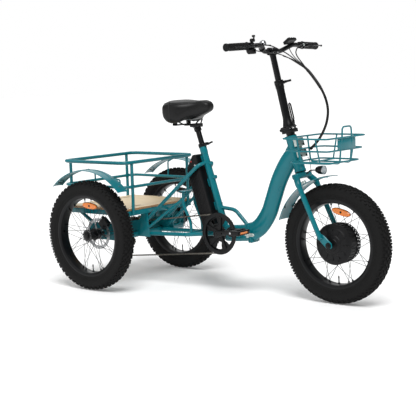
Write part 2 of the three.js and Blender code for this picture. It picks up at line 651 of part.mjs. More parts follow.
/** The changer: two cage plates beside the pulleys, their pins, and the arm up to its hanger. */
function derailleur() {
  const outline = [[UPPER_JOCKEY.x + 10, UPPER_JOCKEY.z + 9], [UPPER_JOCKEY.x - 10, UPPER_JOCKEY.z + 9],
    [LOWER_JOCKEY.x - 11, LOWER_JOCKEY.z - 8], [LOWER_JOCKEY.x + 10, LOWER_JOCKEY.z - 9]];
  const cage = [-7, 7].map((y) => slab(outline, CHAIN_Y + y, 2.5));
  const pins = [UPPER_JOCKEY, LOWER_JOCKEY].map(({ x, z }) =>
    rod([x, CHAIN_Y - 8, z], [x, CHAIN_Y + 8, z], 3.8, 8));
  const knuckleBody = rod([UPPER_JOCKEY.x, CHAIN_Y - 8, UPPER_JOCKEY.z],
    [UPPER_JOCKEY.x, CHAIN_Y - 26, UPPER_JOCKEY.z], 11, 12);
  const arm = pipe([[UPPER_JOCKEY.x, CHAIN_Y - 20, UPPER_JOCKEY.z], [REAR_X + 26, CHAIN_Y - 24, 226],
    [REAR_X + 30, CHAIN_Y - 30, 243]], 8, 20, 8, 2);
  const hanger = box([REAR_X + 30, -CARRIER.inner + 9.5, 248], [26, 12, 20]);
  return join(cage, pins, knuckleBody, arm, hanger);
}
add(tricycle, 'derailleur', derailleur(), BLACK_METAL);

// ---------------------------------------------------------------- front frame
const LATCH = { x: HINGE_X + 12, y: -47.5, z: HINGE_Z - 2, reach: 15.5 };   // its pivot and its tongue

function frontFrame() {
  const plateX = HINGE_X + 5.2;
  const spine = new THREE.CatmullRomCurve3([vec(plateX - 1, 0, HINGE_Z), vec(192, 0, 333), vec(240, 0, 396),
    vec(268, 0, 462), vec(306, 0, 556), vec(352, 0, 634), vec(398, 0, 688)]);
  const mainTube = sweep(spine.getSpacedPoints(11), oval(26, 43, 12));
  const head = rod(onHead(0, 0, 0), onHead(0, 0, -HEAD_LENGTH), 26, 14);
  const bore = rod(onHead(0, 0, 2), onHead(0, 0, -HEAD_LENGTH - 2), 15.5, 12);
  const gusset = slab([[352, 700], [384, 742], [410, 640], [376, 610]], 0, 40);
  const plate = hingePlate(plateX);
  const [low, high] = [HINGE_Z - 46, HINGE_Z + 46];
  const knuckles = [knuckle(plateX, low, HINGE_Z - 16 - GAP), knuckle(plateX, HINGE_Z + 16 + GAP, high)];
  const relief = rod([HINGE_X, HINGE_Y, HINGE_Z - 16 - GAP], [HINGE_X, HINGE_Y, HINGE_Z + 16 + GAP], 10, 12);
  const catchLug = box([plateX + 4, -32, LATCH.z], [16, 14, 26], -HINGE_TILT);
  const tongueRoom = rod([LATCH.x, LATCH.y, LATCH.z - 8], [LATCH.x, LATCH.y, LATCH.z + 8], LATCH.reach + 1.5, 16);
  const front = cut(join(mainTube, gusset, plate, catchLug), relief, tongueRoom);
  return cut(join(front, head, knuckles), bore, pastHinge(-1));
}
add(tricycle, 'front_frame', frontFrame(), TEAL);

/** The cam lever that clamps the frame hinge, on the right-hand side. */
function frameLatch() {
  const barrel = rod([0, 0, -15], [0, 0, 15], 7, 12);
  const handle = box([22, -5, 0], [44, 6, 16]);
  const tongue = box([-LATCH.reach / 2, -3, 0], [LATCH.reach, 4, 14]);
  return join(barrel, handle, tongue);
}
add(tricycle, 'frame_latch', frameLatch(), SILVER).position.set(LATCH.x, LATCH.y, LATCH.z);

/** The wire basket: three rings that taper, four uprights and two floor wires. */
function frontBasket() {
  const { rear, front, half, top, mid, floor, wire } = BASKET;
  const rings = [
    hoop(rear, front, half, top, wire, 26, 4), hoop(rear + 8, front - 6, half - 16, mid, wire, 26, 4),
    hoop(rear + 16, front - 14, half - 34, floor, wire, 26, 4),
  ];
  const runs = sides.map(([, y]) => pipe([[rear, y * 44, top], [rear + 16, y * 44, floor - 6],
    [front - 12, y * 44, floor - 6], [front, y * 44, top]], wire, 14, 4, 1));
  const flanks = [0.35, 0.75].flatMap((t) => sides.map(([, y]) => {
    const x = rear + (front - rear) * t;
    return pipe([[x, y * half, top], [x, y * (half - 34), floor]], wire - 0.5, 10, 4);
  }));
  const middleWire = pipe([[rear + 100, -half + 34, floor], [rear + 100, half - 34, floor]], wire - 0.5, 10, 4);
  const badge = box([front - 2, 0, (top + mid) / 2], [3, 148, top - mid]);
  const handle = pipe([[front, -40, top], [front, -36, top + 48], [front, 36, top + 48], [front, 40, top]],
    wire, 16, 4, 2);
  return join(rings, runs, flanks, middleWire, badge, handle);
}
add(tricycle, 'front_basket', frontBasket(), TEAL);

/** Two bolted blocks that carry the basket on the head tube. */
function basketBracket() {
  const plates = [[-38, 38], [-92, 34]].map(([z, tall]) => {
    const [x, , height] = onHead(35, 0, z);
    return box([x, 0, height], [16, 62, tall], -HEAD_LEAN);
  });
  const [x, , z] = onHead(32, 0, -66);
  return join(plates, box([x, 0, z], [8, 30, 70], -HEAD_LEAN));
}
add(tricycle, 'basket_bracket', cut(basketBracket(), frontBasket(),
  rod(onHead(0, 0, 5), onHead(0, 0, -HEAD_LENGTH), 26 + GAP, 18)), SILVER);

// ---------------------------------------------------------------- fork
const LEG = { y: 72, lowY: 76, r: 15 };
function fork() {
  const steerer = rod(onHead(0, 0, 26), onHead(0, 0, -HEAD_LENGTH - 20), 14, 12);
  const crownBase = onHead(0, 0, -HEAD_LENGTH - 14);
  const race = rod(onHead(0, 0, -HEAD_LENGTH - GAP), onHead(0, 0, -HEAD_LENGTH - 26), 22, 12);
  const crown = box([crownBase[0] + 4, 0, crownBase[2] - 4], [40, 2 * LEG.y - 20, 26], -HEAD_LEAN);
  const axle = rod([FRONT_X, -82, AXLE_Z], [FRONT_X, 82, AXLE_Z], 7, 12);
  const legs = sides.map(([, y]) => {
    const leg = pipe([[crownBase[0] + 4, y * 46, crownBase[2] - 4], [466, y * (LEG.y + 2), 552],
      [584, y * (LEG.lowY + 2), 306]], LEG.r, 40, 8, 3);
    const dropout = slab([[576, 322], [600, 318], [FRONT_X + 16, AXLE_Z + 8], [FRONT_X + 12, AXLE_Z - 14],
      [FRONT_X - 12, AXLE_Z - 14], [572, 296]], y * 70, 7);
    const nut = rod([FRONT_X, y * 73, AXLE_Z], [FRONT_X, y * 82, AXLE_Z], 13, 6);
    return [leg, dropout, nut];
  });
  return join(steerer, race, crown, axle, legs.flat());
}
add(tricycle, 'fork', fork(), TEAL);

const frontCentre = new THREE.Group();
frontCentre.position.set(FRONT_X, 0, AXLE_Z);
tricycle.add(frontCentre);
function frontGuard() {
  const strip = arcStrip(311, 3, 42, 93, 162, 10);
  const at = rad(123);
  const tab = rod([Math.cos(at) * 312, 0, Math.sin(at) * 312], [Math.cos(at) * 334, 0, Math.sin(at) * 334], 14, 10);
  return join(strip, tab);
}
add(frontCentre, 'front_mudguard', frontGuard(), TEAL);

const frontBrake = new THREE.Group();
frontBrake.position.y = 57;
frontBrake.rotation.y = -rad(170);
frontCentre.add(frontBrake);
add(frontBrake, 'front_caliper', caliper(91, 0.6), BLACK_METAL);

/** The headlight points forward on an arm from the fork crown. */
function headlight() {
  const shell = turned([[0, -24], [11, -24], [18, -10], [20, 6], [20, 20], [0, 24]], 16);
  const arm = pipe([[-76, 0, -20], [-56, 0, -4], [-16, 0, -2]], 5, 14, 6, 2);
  return join(shell.rotate([0, 0, -90]), arm);
}
add(tricycle, 'headlight', headlight(), SILVER).position.set(541, 0, 614);

// ---------------------------------------------------------------- handlebar post
const post = leaning(POST_FOOT, POST_LEAN);
const PIN_Y = -35;
const tab = (x0, x1, z0, z1) => box([(x0 + x1) / 2, PIN_Y / 2 - 14, (z0 + z1) / 2], [x1 - x0, -PIN_Y - 22, z1 - z0]);

function postBase() {
  const block = box([0, 2, -9 - GAP / 2], [54, 56, 18 - GAP]);
  const hingeKnuckle = rod([-8, PIN_Y, 0], [8, PIN_Y, 0], 7, 12);
  const clamp = rod([2, 0, -29], [2, 0, -8], 21, 16);
  return join(block, hingeKnuckle, tab(-8, 8, -7, -1), clamp);
}
function steererHole() {
  const g = new THREE.CylinderGeometry(14 + GAP, 14 + GAP, 120, 16).rotateX(Math.PI / 2);
  g.rotateY(-rad(HEAD_LEAN - POST_LEAN));
  const [x, , z] = [HEAD_TOP.x - POST_FOOT.x, 0, HEAD_TOP.z - POST_FOOT.z];
  const [s, c] = [Math.sin(rad(POST_LEAN)), Math.cos(rad(POST_LEAN))];
  return solid(g.translate(x * c + z * s, 0, -x * s + z * c));
}
add(post, 'post_base', cut(postBase(), steererHole()), BLACK_METAL);

function lowerPost() {
  const flange = box([0, 2, 7 + GAP], [54, 56, 14]);
  const knuckles = [[-26, -8 - GAP], [8 + GAP, 26]].map(([a, b]) =>
    join(rod([a, PIN_Y, 0], [b, PIN_Y, 0], 7, 12), tab(a, b, 1, 7)));
  const tubeBody = rod([0, 0, 8], [0, 0, POST_COLLAR], 19, 12);
  const taper = solid(new THREE.CylinderGeometry(20, 27, 26, 12).rotateX(Math.PI / 2).translate(0, 0, 26));
  const ears = [-1, 1].map((s) => box([s * 11, 34, 10], [5, 12, 18]));
  const bore = rod([0, 0, 30], [0, 0, POST_COLLAR + 4], 15.6, 12);
  const clearance = rod([-8 - GAP, PIN_Y, 0], [8 + GAP, PIN_Y, 0], 8.4, 12);
  return cut(join(cut(join(flange, tubeBody, taper, ears), clearance), knuckles), bore);
}
add(post, 'handlebar_post', lowerPost(), BLACK_METAL);

function postLatch() {
  const cam = rod([-7, 0, 0], [7, 0, 0], 6, 12);
  const blade = pipe([[0, 2, 0], [0, 9, 30], [0, 6, 118]], 5.5, 30, 8, 3);
  return join(cam, blade);
}
add(post, 'post_latch', postLatch(), BLACK_METAL).position.set(0, 40, 12);

function postClamp() {
  const collar = rod([0, 0, POST_COLLAR + GAP], [0, 0, POST_COLLAR + 20], 22, 12);
  const ears = box([0, 27, POST_COLLAR + 10], [16, 14, 15]);
  const bore = rod([0, 0, POST_COLLAR], [0, 0, POST_COLLAR + 24], 15.6, 12);
  return cut(join(collar, ears), bore);
}
add(post, 'post_clamp', postClamp(), BLACK_METAL);
const clampLever = add(post, 'post_clamp_lever', camLever(30, 10), BLACK_METAL);
clampLever.position.set(16, 27, POST_COLLAR + 10);
clampLever.rotation.z = rad(24);

function riser() {
  const tubeBody = rod([0, 0, 118], [0, 0, POST_TOP - 8], 14.4, 12);
  const clamp = rod([0, -27, POST_TOP], [0, 27, POST_TOP], 18, 12);
  const bore = rod([0, -40, POST_TOP], [0, 40, POST_TOP], BAR_R + 1, 12);
  return cut(join(tubeBody, clamp), bore);
}
add(post, 'riser_tube', riser(), BLACK_METAL);

// ---------------------------------------------------------------- handlebar
const bar = new THREE.Group();                 // level, with its origin at the bar clamp
bar.position.set(...onPost(0, 0, POST_TOP));
tricycle.add(bar);
const GRIP_START = [20, 214, 26];
const SWEEP = 6;                               // degrees back at the grips
const gripAt = (d) => [GRIP_START[0] - d * Math.sin(rad(SWEEP)), GRIP_START[1] + d * Math.cos(rad(SWEEP)),
  GRIP_START[2] - d * 0.03];
const barSide = [[0, 0, 0], [0, 62, 0], [26, 128, 29], gripAt(0), gripAt(GRIP_LENGTH - 8)];
const barEnd = (d, sign) => gripAt(d).map((v, i) => (i === 1 ? v * sign : v));

function handlebar() {
  const left = barSide.slice(1);
  return pipe([...mirrored(left).reverse(), ...left], BAR_R, 40, 8, 2);
}
add(bar, 'handlebar', handlebar(), BLACK_METAL);

/** Turns a group so that its +Y axis runs outboard along the grip on the side of `sign`. */
function alongGrip(sign, d) {
  const group = new THREE.Group();
  group.position.set(...barEnd(d, sign));
  const [a, b] = [vec(...barEnd(0, sign)), vec(...barEnd(100, sign))];
  group.quaternion.setFromUnitVectors(vec(0, sign, 0), b.sub(a).normalize());
  bar.add(group);
  return group;
}

function grip(sign) {
  const end = GRIP_LENGTH;
  const inner = BAR_R + 0.9;
  const profile = [[0, end - 4], [inner, end - 4], [inner, 0], [17.5, 0], [15.5, 10],
    [15.5, end - 12], [18, end - 5], [0, end]];
  return turned(profile.map(([r, y]) => [r, sign * y]), 12);
}

/** The brake perch: a clamp ring, the lever's bracket ahead of the bar and, at the right, the shifter. */
function perch(sign) {
  const ring = rod([0, -10, 0], [0, 10, 0], 16, 14);
  const bracket = box([27, sign * 4, -1], [30, 20, 15]);
  const slot = box([38, sign * 9, -1], [24, 40, 8]);
  const body = cut(join(ring, bracket), slot);
  const seat = join(rod([0, 9, 0], [0, 20, 0], 15, 12), rod([0, 9, 24], [0, 20, 24], 9, 12),
    box([0, 14.5, 14], [10, 11, 12]));
  const pod = join(rod([0, -9, -20], [0, 13, -20], 17, 12), box([12, 2, -24], [30, 24, 24]), seat);
  const bore = rod([0, -60, 0], [0, 60, 0], BAR_R + 2, 12);
  return cut(sign < 0 ? join(body, pod) : body, bore);
}

/** A brake lever about its pivot: it runs outboard ahead of the grip. */
function brakeLever(sign) {
  const eye = rod([0, 0, -3.2], [0, 0, 3.2], 6, 10);
  const blade = pipe([[0, 0, 0], [18, sign * 22, 0], [20, sign * 60, 0], [9, sign * 128, 0]], 3.1, 20, 6, 2);
  const tip = rod([9, sign * 126, 0], [8, sign * 133, 0], 5, 6);
  return join(eye, blade, tip);
}

/** The thumb lever of the gear shifter about its pivot, which lies along Y. */
function shifterLever() {
  const stem = pipe([[0, 0, 0], [3, 2, 10], [-4, 6, 19]], 4, 12, 6, 1);
  return join(rod([0, -4.5, 0], [0, 4.5, 0], 7, 10), stem, rod([-6, 0, 19], [-2, 12, 20], 5, 8));
}
for (const [side, sign] of sides) {
  const gripGroup = alongGrip(sign, 2);
  add(gripGroup, `grip_${side}`, grip(sign), RUBBER);
  const perchGroup = alongGrip(sign, -16);
  add(perchGroup, `brake_perch_${side}`, perch(sign), BLACK_METAL);
  add(perchGroup, `brake_lever_${side}`, brakeLever(sign), BLACK_METAL).position.set(35, sign * 5, -1);
  if (sign < 0) {
    add(perchGroup, 'shifter_lever', shifterLever(), BLACK_PLASTIC).position.set(0, 25.5, 24);
  }
}

/** The bell stands on the rising part of the bar, at the right; its group's +Y runs along the bar. */
const bellMount = new THREE.Group();
bellMount.position.set(...barSide[1].map((v, i) => (v + barSide[2][i]) / 2 * (i === 1 ? -1 : 1)));
bellMount.quaternion.setFromUnitVectors(vec(0, -1, 0), vec(26, -66, 29).normalize());
bar.add(bellMount);
function bell() {
  const ring = rod([0, -5, 0], [0, 5, 0], 15, 12);
  const stand = rod([0, 0, 12], [0, 0, 24], 5, 8);
  const dome = turned([[0, 18], [9, 16], [15, 9], [17, 0], [0, 0]], 14).rotate([90, 0, 0]);
  const bore = rod([0, -20, 0], [0, 20, 0], BAR_R + 1, 12);
  return cut(join(ring, stand, dome.translate([0, 0, 22])), bore);
}
add(bellMount, 'bell', bell(), SILVER);
function bellLever() {
  return join(rod([0, 0, -2], [0, 0, 2], 5, 10), box([14, 0, 0], [28, 6, 2.5]));
}
add(bellMount, 'bell_lever', bellLever(), BLACK_PLASTIC).position.set(13, 0, 17.5);

function displayUnit() {
  const shell = box([0, 0, 0], [40, 64, 15], 35);
  const arm = box([-8, -26, -9], [14, 10, 16]);
  return join(shell, arm);
}
add(bar, 'display', displayUnit(), BLACK_PLASTIC).position.set(34, 98, 46);

// ---------------------------------------------------------------- cables
const cablePoints = [[330, 24, 1138], [385, 28, 1118], [446, 31, 1082], [496, 33, 1030], [542, 35, 964],
  [562, 38, 898], [556, 40, 840], [534, 42, 790], [500, 42, 742], [460, 42, 706]];
const cableRoute = new THREE.CatmullRomCurve3(cablePoints.map((p) => vec(...p)));
add(tricycle, 'cable_bundle', sweep(cableRoute.getSpacedPoints(20), circle(6, 6)), RUBBER);

export default tricycle;
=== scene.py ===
# %% [markdown]
# # An adult cargo tricycle
#
# A three-wheeled electric cycle for grown-ups: one wide wheel in front with a motor in its hub, two
# behind, a low frame that folds at a hinge, a plywood deck in a tubular tray between the rear wheels
# and a wire basket on the head tube. The plain solids and the bodies that move are already made and
# come in as the frame. This script builds the surfaces that are looked at: tyres with tread blocks,
# laced spokes, painted tubes, a padded saddle, cables and all the small hardware.

# %% The frame and its box
from math import asin, atan2, cos, hypot, pi, radians, sin

import bpy
from mathutils import Matrix, Vector


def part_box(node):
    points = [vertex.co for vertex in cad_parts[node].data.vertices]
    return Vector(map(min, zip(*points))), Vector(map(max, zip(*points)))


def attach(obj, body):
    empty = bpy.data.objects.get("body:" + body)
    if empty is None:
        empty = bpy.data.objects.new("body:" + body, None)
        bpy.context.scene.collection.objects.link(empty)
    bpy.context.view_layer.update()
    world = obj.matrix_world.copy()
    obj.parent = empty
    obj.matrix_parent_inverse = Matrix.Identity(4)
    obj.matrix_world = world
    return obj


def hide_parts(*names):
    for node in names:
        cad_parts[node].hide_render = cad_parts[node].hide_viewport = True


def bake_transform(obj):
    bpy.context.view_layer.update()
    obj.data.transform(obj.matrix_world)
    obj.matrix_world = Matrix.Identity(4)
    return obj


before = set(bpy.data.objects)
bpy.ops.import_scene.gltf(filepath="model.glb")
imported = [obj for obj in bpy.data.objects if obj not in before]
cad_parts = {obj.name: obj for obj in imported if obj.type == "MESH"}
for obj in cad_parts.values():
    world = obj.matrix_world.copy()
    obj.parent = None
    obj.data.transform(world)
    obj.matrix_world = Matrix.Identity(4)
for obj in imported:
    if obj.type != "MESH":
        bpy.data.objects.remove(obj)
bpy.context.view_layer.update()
MM = 0.001

# %% [markdown]
# The camera stands to the front right of the tricycle and looks slightly down on it, with a long
# lens. It leans a little to one side, so the ground rises gently towards the left of the picture.

# %% Camera
AZIMUTH, ELEVATION, ROLL = radians(39.67), radians(7.378), 0.0352
LENS, SENSOR = 96.95, 36.0


def camera_turn(azimuth, elevation, roll):
    back = Vector((sin(azimuth) * cos(elevation), -cos(azimuth) * cos(elevation), sin(elevation)))
    right = Vector((cos(azimuth), sin(azimuth), 0))
    up = back.cross(right)
    leaned_right = cos(roll) * right - sin(roll) * up
    leaned_up = sin(roll) * right + cos(roll) * up
    return Matrix((leaned_right, leaned_up, back)).transposed().to_4x4()


bpy.ops.object.camera_add()
camera = bpy.context.object
camera.matrix_world = Matrix.Translation((3.40324, -4.26865, 1.11828)) @ camera_turn(AZIMUTH, ELEVATION, ROLL)
camera.data.lens, camera.data.sensor_width = LENS, SENSOR
bpy.context.scene.camera = camera

# %% [markdown]
# A product shot is lit softly from all sides. A white world fills the shadows, one large lamp high in
# front gives the paint its long highlights, a second from behind draws the edges, and a wide pale
# floor catches soft contact shadows under the tyres.

# %% Floor and light
scene = bpy.context.scene
scene.view_settings.view_transform = "Standard"
world = bpy.data.worlds.new("studio")
world.use_nodes = True
sky = world.node_tree.nodes["Background"]
seen = world.node_tree.nodes.new("ShaderNodeLightPath")
level = world.node_tree.nodes.new("ShaderNodeMapRange")      # what lights the cycle, what is seen behind it
level.inputs["To Min"].default_value, level.inputs["To Max"].default_value = 0.24, 1.0
world.node_tree.links.new(seen.outputs["Is Camera Ray"], level.inputs["Value"])
world.node_tree.links.new(level.outputs["Result"], sky.inputs["Strength"])
sky.inputs["Color"].default_value = (1.0, 1.0, 1.0, 1)
scene.world = world


def sun(name, toward, spread, strength):
    """A lamp so far off that it lights the whole floor evenly; `spread` is its width in degrees."""
    bpy.ops.object.light_add(type="SUN", location=toward)
    light = bpy.context.object
    light.name = name
    light.data.angle, light.data.energy = radians(spread), strength
    light.rotation_euler = Vector(toward).to_track_quat("Z", "Y").to_euler()


sun("key_light", (0.9, -0.9, 2.2), 34, 2.6)
sun("rear_light", (-1.6, 1.2, 1.6), 50, 0.7)
sun("side_light", (-1.2, -2.2, 1.0), 50, 0.35)

bpy.ops.mesh.primitive_plane_add(size=60, location=(0, 0, 0))
floor = bpy.context.object
floor.name = "floor"

# %% [markdown]
# ## Finishes
#
# A finish is a small network of shader nodes. Written node by node it takes pages, so two helpers
# keep it short. `Wire` stands for one output and lets Python's own arithmetic build the Math nodes,
# and `Finish.make` adds any other node with its settings and inputs.

# %% Shader arithmetic
class Wire:
    """One output of a shader node, on which + - * / work as on a number."""

    def __init__(self, finish, socket):
        self.finish, self.socket = finish, socket

    def _with(self, operation, first, second):
        return self.finish.make("ShaderNodeMath", 0, {"operation": operation}, {0: first, 1: second})

    def __add__(self, other):
        return self._with("ADD", self, other)

    def __sub__(self, other):
        return self._with("SUBTRACT", self, other)

    def __rsub__(self, other):
        return self._with("SUBTRACT", other, self)

    def __mul__(self, other):
        return self._with("MULTIPLY", self, other)

    def __pow__(self, other):
        return self._with("POWER", self, other)

    __radd__, __rmul__ = __add__, __mul__

    def above(self, edge):
        return self._with("GREATER_THAN", self, edge)


class Finish:
    """A material on its way: an empty node tree, a Principled shader and the means to feed it."""

    def __init__(self, name):
        self.material = bpy.data.materials.new(name)
        self.material.use_nodes = True
        self.tree = self.material.node_tree
        self.shader = self.tree.nodes["Principled BSDF"]

    def feed(self, node, inputs):
        for key, value in inputs.items():
            if isinstance(value, Wire):
                self.tree.links.new(value.socket, node.inputs[key])
            else:
                node.inputs[key].default_value = value

    def make(self, kind, output, settings=None, inputs=None):
        node = self.tree.nodes.new(kind)
        stops = (settings or {}).pop("stops", None)
        for key, value in (settings or {}).items():
            setattr(node, key, value)
        if stops:
            ramp = node.color_ramp.elements
            while len(ramp) < len(stops):
                ramp.new(0.5)
            for element, (place, shade) in zip(ramp, stops):
                element.position, element.color = place, shade
        self.feed(node, inputs or {})
        return Wire(self, node.outputs[output])

    def place(self, scale=(1, 1, 1), turn=(0, 0, 0)):
        """The Object coordinates in metres, stretched and turned."""
        raw = self.make("ShaderNodeTexCoord", "Object")
        return self.make("ShaderNodeMapping", 0, None, {"Vector": raw, "Scale": scale, "Rotation": turn})

    def noise(self, scale, detail=4.0, rough=0.55, where=None):
        return self.make("ShaderNodeTexNoise", 0, None, {
            "Vector": where or self.place(), "Scale": scale, "Detail": detail, "Roughness": rough})

    def cells(self, scale, where=None, feature="F1"):
        return self.make("ShaderNodeTexVoronoi", "Distance", {"feature": feature}, {
            "Vector": where or self.place(), "Scale": scale})

    def blend(self, amount, first, second):
        """One colour or the other; a Mix node, because a Math node would turn them grey."""
        return self.make("ShaderNodeMix", 2, {"data_type": "RGBA"}, {0: amount, 6: first, 7: second})

    def bump(self, height, strength, depth):
        return self.make("ShaderNodeBump", 0, None, {
            "Height": height, "Strength": strength, "Distance": depth})

    def done(self, color, roughness, metallic=0.0, normal=None, **fixed):
        inputs = {"Base Color": color, "Roughness": roughness, "Metallic": metallic}
        if normal:
            inputs["Normal"] = normal
        inputs.update({name.replace("_", " "): value for name, value in fixed.items()})
        self.feed(self.shader, inputs)
        return self.material


def tint(red, green, blue):
    """A screen colour from 0 to 255 as the linear colour that a shader mixes with."""
    return tuple((v / 255 / 12.92 if v < 10.3 else ((v / 255 + 0.055) / 1.055) ** 2.4)
                 for v in (red, green, blue)) + (1.0,)


# %% [markdown]
# The frame is painted: a teal base under a clear coat. Real paint is never even. It is a little
# darker where it is thick, and the coat has a faint orange-peel ripple that breaks its reflections.

# %% Teal paint
paint = Finish("teal_paint")
drift = paint.noise(9, 3)
peel = paint.noise(520, 2)
teal = paint.done(
    paint.blend(drift, tint(2, 104, 115), tint(6, 120, 130)), 0.24 + drift * 0.10, 0.0,
    paint.bump(peel, 0.08, 0.0006), Coat_Weight=0.22, Coat_Roughness=0.10,
    Specular_IOR_Level=0.28)

# %% [markdown]
# Black parts come in four surfaces, and the eye tells them apart by their gloss alone: satin
# anodised metal, powder coat with a fine grit, moulded plastic with a spark-eroded grain, and rubber.

# %% Black finishes
def black(name, shade, roughness, metallic, grit, strength, depth):
    finish = Finish(name)
    broad, fine = finish.noise(24, 3), finish.noise(grit, 3)
    return finish.done(
        finish.blend(broad, tint(*(v * 0.8 for v in shade)), tint(*(v * 1.25 for v in shade))),
        roughness - 0.06 + broad * 0.14, metallic, finish.bump(fine, strength, depth),
        Specular_IOR_Level=0.28)


satin_black = black("satin_black_metal", (11, 12, 14), 0.30, 0.1, 900, 0.10, 0.0004)
powder_black = black("powder_coated_black", (10, 10, 12), 0.46, 0.1, 1500, 0.35, 0.0005)
plastic_black = black("moulded_black_plastic", (9, 9, 11), 0.40, 0.0, 1900, 0.30, 0.0004)
gloss_black = black("gloss_black_plastic", (10, 10, 12), 0.16, 0.0, 700, 0.04, 0.0003)
rubber_black = black("grip_rubber", (9, 9, 10), 0.66, 0.0, 1300, 0.45, 0.0006)
hose_black = black("cable_housing", (10, 10, 11), 0.42, 0.0, 1100, 0.10, 0.0003)

# %% [markdown]
# Tyre rubber is matt and a touch brown where dust lies. Dust gathers on the sidewall and between
# the tread blocks, so a broad noise lifts both the colour and the roughness together.

# %% Tyre rubber
rubber = Finish("tyre_rubber")
dust = rubber.noise(14, 5, 0.6) ** 1.6
crumb = rubber.noise(1400, 3)
tyre_rubber = rubber.done(
    rubber.blend(dust, tint(8, 8, 9), tint(22, 22, 21)), 0.70 + dust * 0.2, 0.0,
    rubber.bump(crumb, 0.4, 0.0006), Specular_IOR_Level=0.25)

# %% [markdown]
# Bare metals: brushed steel for the brake rotors, polished steel for spokes and bolts, a duller cast
# aluminium for the hinge latch and the basket clamps, and oiled steel for the chain.

# %% Bare metals
def metal(name, dark, light, roughness, scale, grain_scale, strength):
    finish = Finish(name)
    cloud = finish.noise(scale, 4)
    lines = finish.noise(grain_scale, 2)
    return finish.done(
        finish.blend(cloud, tint(*dark), tint(*light)), roughness - 0.08 + cloud * 0.2, 1.0,
        finish.bump(lines, strength, 0.0004))


rotor_steel = metal("brushed_rotor_steel", (128, 130, 132), (196, 198, 200), 0.30, 60, 1500, 0.15)
bright_steel = metal("polished_steel", (150, 152, 155), (212, 214, 216), 0.22, 40, 900, 0.05)
spoke_steel = metal("spoke_steel", (30, 31, 33), (58, 59, 62), 0.30, 40, 900, 0.05)
cast_silver = metal("cast_aluminium", (168, 180, 176), (212, 220, 216), 0.42, 90, 700, 0.30)
chain_steel = metal("oiled_chain_steel", (84, 80, 74), (150, 146, 138), 0.34, 120, 900, 0.2)

# %% [markdown]
# The deck is plywood: a pale birch face with long, slightly wavy grain, and an edge that shows the
# glued layers as thin dark and light stripes. One finish does both, by reading the height: inside
# the thickness of the board the stripes take over wherever the surface stands upright.

# %% Plywood
wood = Finish("birch_plywood")
with_grain = wood.place((1.0, 9.0, 9.0))
figure = wood.noise(7, 6, 0.6, with_grain)
fibre = wood.noise(90, 4, 0.6, wood.place((1.0, 30.0, 30.0)))
facing = wood.make("ShaderNodeSeparateXYZ", 2, None, {0: wood.make("ShaderNodeNewGeometry", "Normal")})
height = wood.make("ShaderNodeSeparateXYZ", 2, None, {0: wood.place()})
ply = wood.make("ShaderNodeMath", 0, {"operation": "PINGPONG"}, {0: height, 1: 0.0013})
layers = (ply * (1 / 0.0013)).above(0.5)
face_color = wood.blend(figure * 0.7 + fibre * 0.3, tint(240, 222, 188), tint(206, 178, 136))
edge_color = wood.blend(layers, tint(122, 84, 52), tint(196, 154, 108))
plywood = wood.done(
    wood.blend(facing.above(0.5), edge_color, face_color), 0.42 + fibre * 0.2, 0.0,
    wood.bump(fibre, 0.25, 0.0008), Coat_Weight=0.15, Coat_Roughness=0.35)

# %% [markdown]
# The saddle cover is embossed vinyl: small rounded pebbles with creases between them, which is what
# the distance to the nearest cell centre draws, over a slow change of gloss from wear.

# %% Saddle vinyl
vinyl = Finish("saddle_vinyl")
pebble, worn = vinyl.cells(620), vinyl.noise(16, 3)
saddle_vinyl = vinyl.done(
    vinyl.blend(worn, tint(8, 8, 9), tint(15, 15, 16)), 0.36 + worn * 0.14, 0.0,
    vinyl.bump(1 - pebble, 0.25, 0.0006), Specular_IOR_Level=0.32)

# %% [markdown]
# Reflectors are clear plastic over rows of little prisms. The prisms are finer than the eye can
# follow, so a cell pattern bends the light at random through the bump. The same cells paint light
# centres and dark edges into the colour as a painted sparkle.

# %% Lenses
def lens(name, dark, light, roughness=0.14):
    finish = Finish(name)
    prisms = finish.cells(420)
    # painted sparkle: the prism cells blend the colour from the light tint at their centres to the dark tint
    # at their edges
    return finish.done(
        finish.blend(prisms * 1.4, tint(*light), tint(*dark)), roughness + prisms * 0.12, 0.0,
        finish.bump(prisms, 0.55, 0.0012), Coat_Weight=0.8, Coat_Roughness=0.05)


amber = lens("amber_reflector", (222, 104, 4), (255, 158, 22))
red_lens = lens("red_lens", (140, 12, 16), (222, 34, 34))
clear_lens = lens("clear_lens", (150, 158, 164), (236, 240, 244))

# %% [markdown]
# The floor is plain and almost white, with a faint unevenness so that it isn't a flat tone.

# %% Floor finish
ground = Finish("studio_floor")
patches = ground.noise(1.5, 3)
floor.data.materials.append(ground.done(
    ground.blend(patches, tint(250, 250, 250), tint(254, 254, 254)), 0.75 + patches * 0.1,
    Emission_Color=(1, 1, 1, 1), Emission_Strength=0.12))
print("finishes", len(bpy.data.materials))

# %% [markdown]
# ## Ways of making a shape
#
# Almost everything on a cycle is a tube, a turned part or a plate, so each gets one helper that does
# by operator what a modeller does by hand. The first few only put things down tidily.

# %% Selecting, placing and keeping
def deselect():
    if bpy.context.object and bpy.context.object.mode != "OBJECT":
        bpy.ops.object.mode_set(mode="OBJECT")
    bpy.ops.object.select_all(action="DESELECT")


def pick(*things):
    deselect()
    for thing in things:
        thing.select_set(True)
    bpy.context.view_layer.objects.active = things[0]
    return things[0]


def tidy(thing, outward=True):
    """Merges doubled points and, on a shape that spin or mirror made, turns its faces outwards."""
    pick(thing)
    bpy.ops.object.mode_set(mode="EDIT")
    bpy.ops.mesh.select_all(action="SELECT")
    bpy.ops.mesh.remove_doubles(threshold=2e-5)
    if outward:
        bpy.ops.mesh.normals_make_consistent(inside=False)
    bpy.ops.object.mode_set(mode="OBJECT")
    return thing


def settle(thing, place=Matrix.Identity(4)):
    """Puts a shape at a place and bakes that into its mesh, so that its object sits at the origin."""
    pick(thing)
    thing.matrix_world = place @ thing.matrix_world
    bpy.ops.object.transform_apply(location=True, rotation=True, scale=True)
    return thing


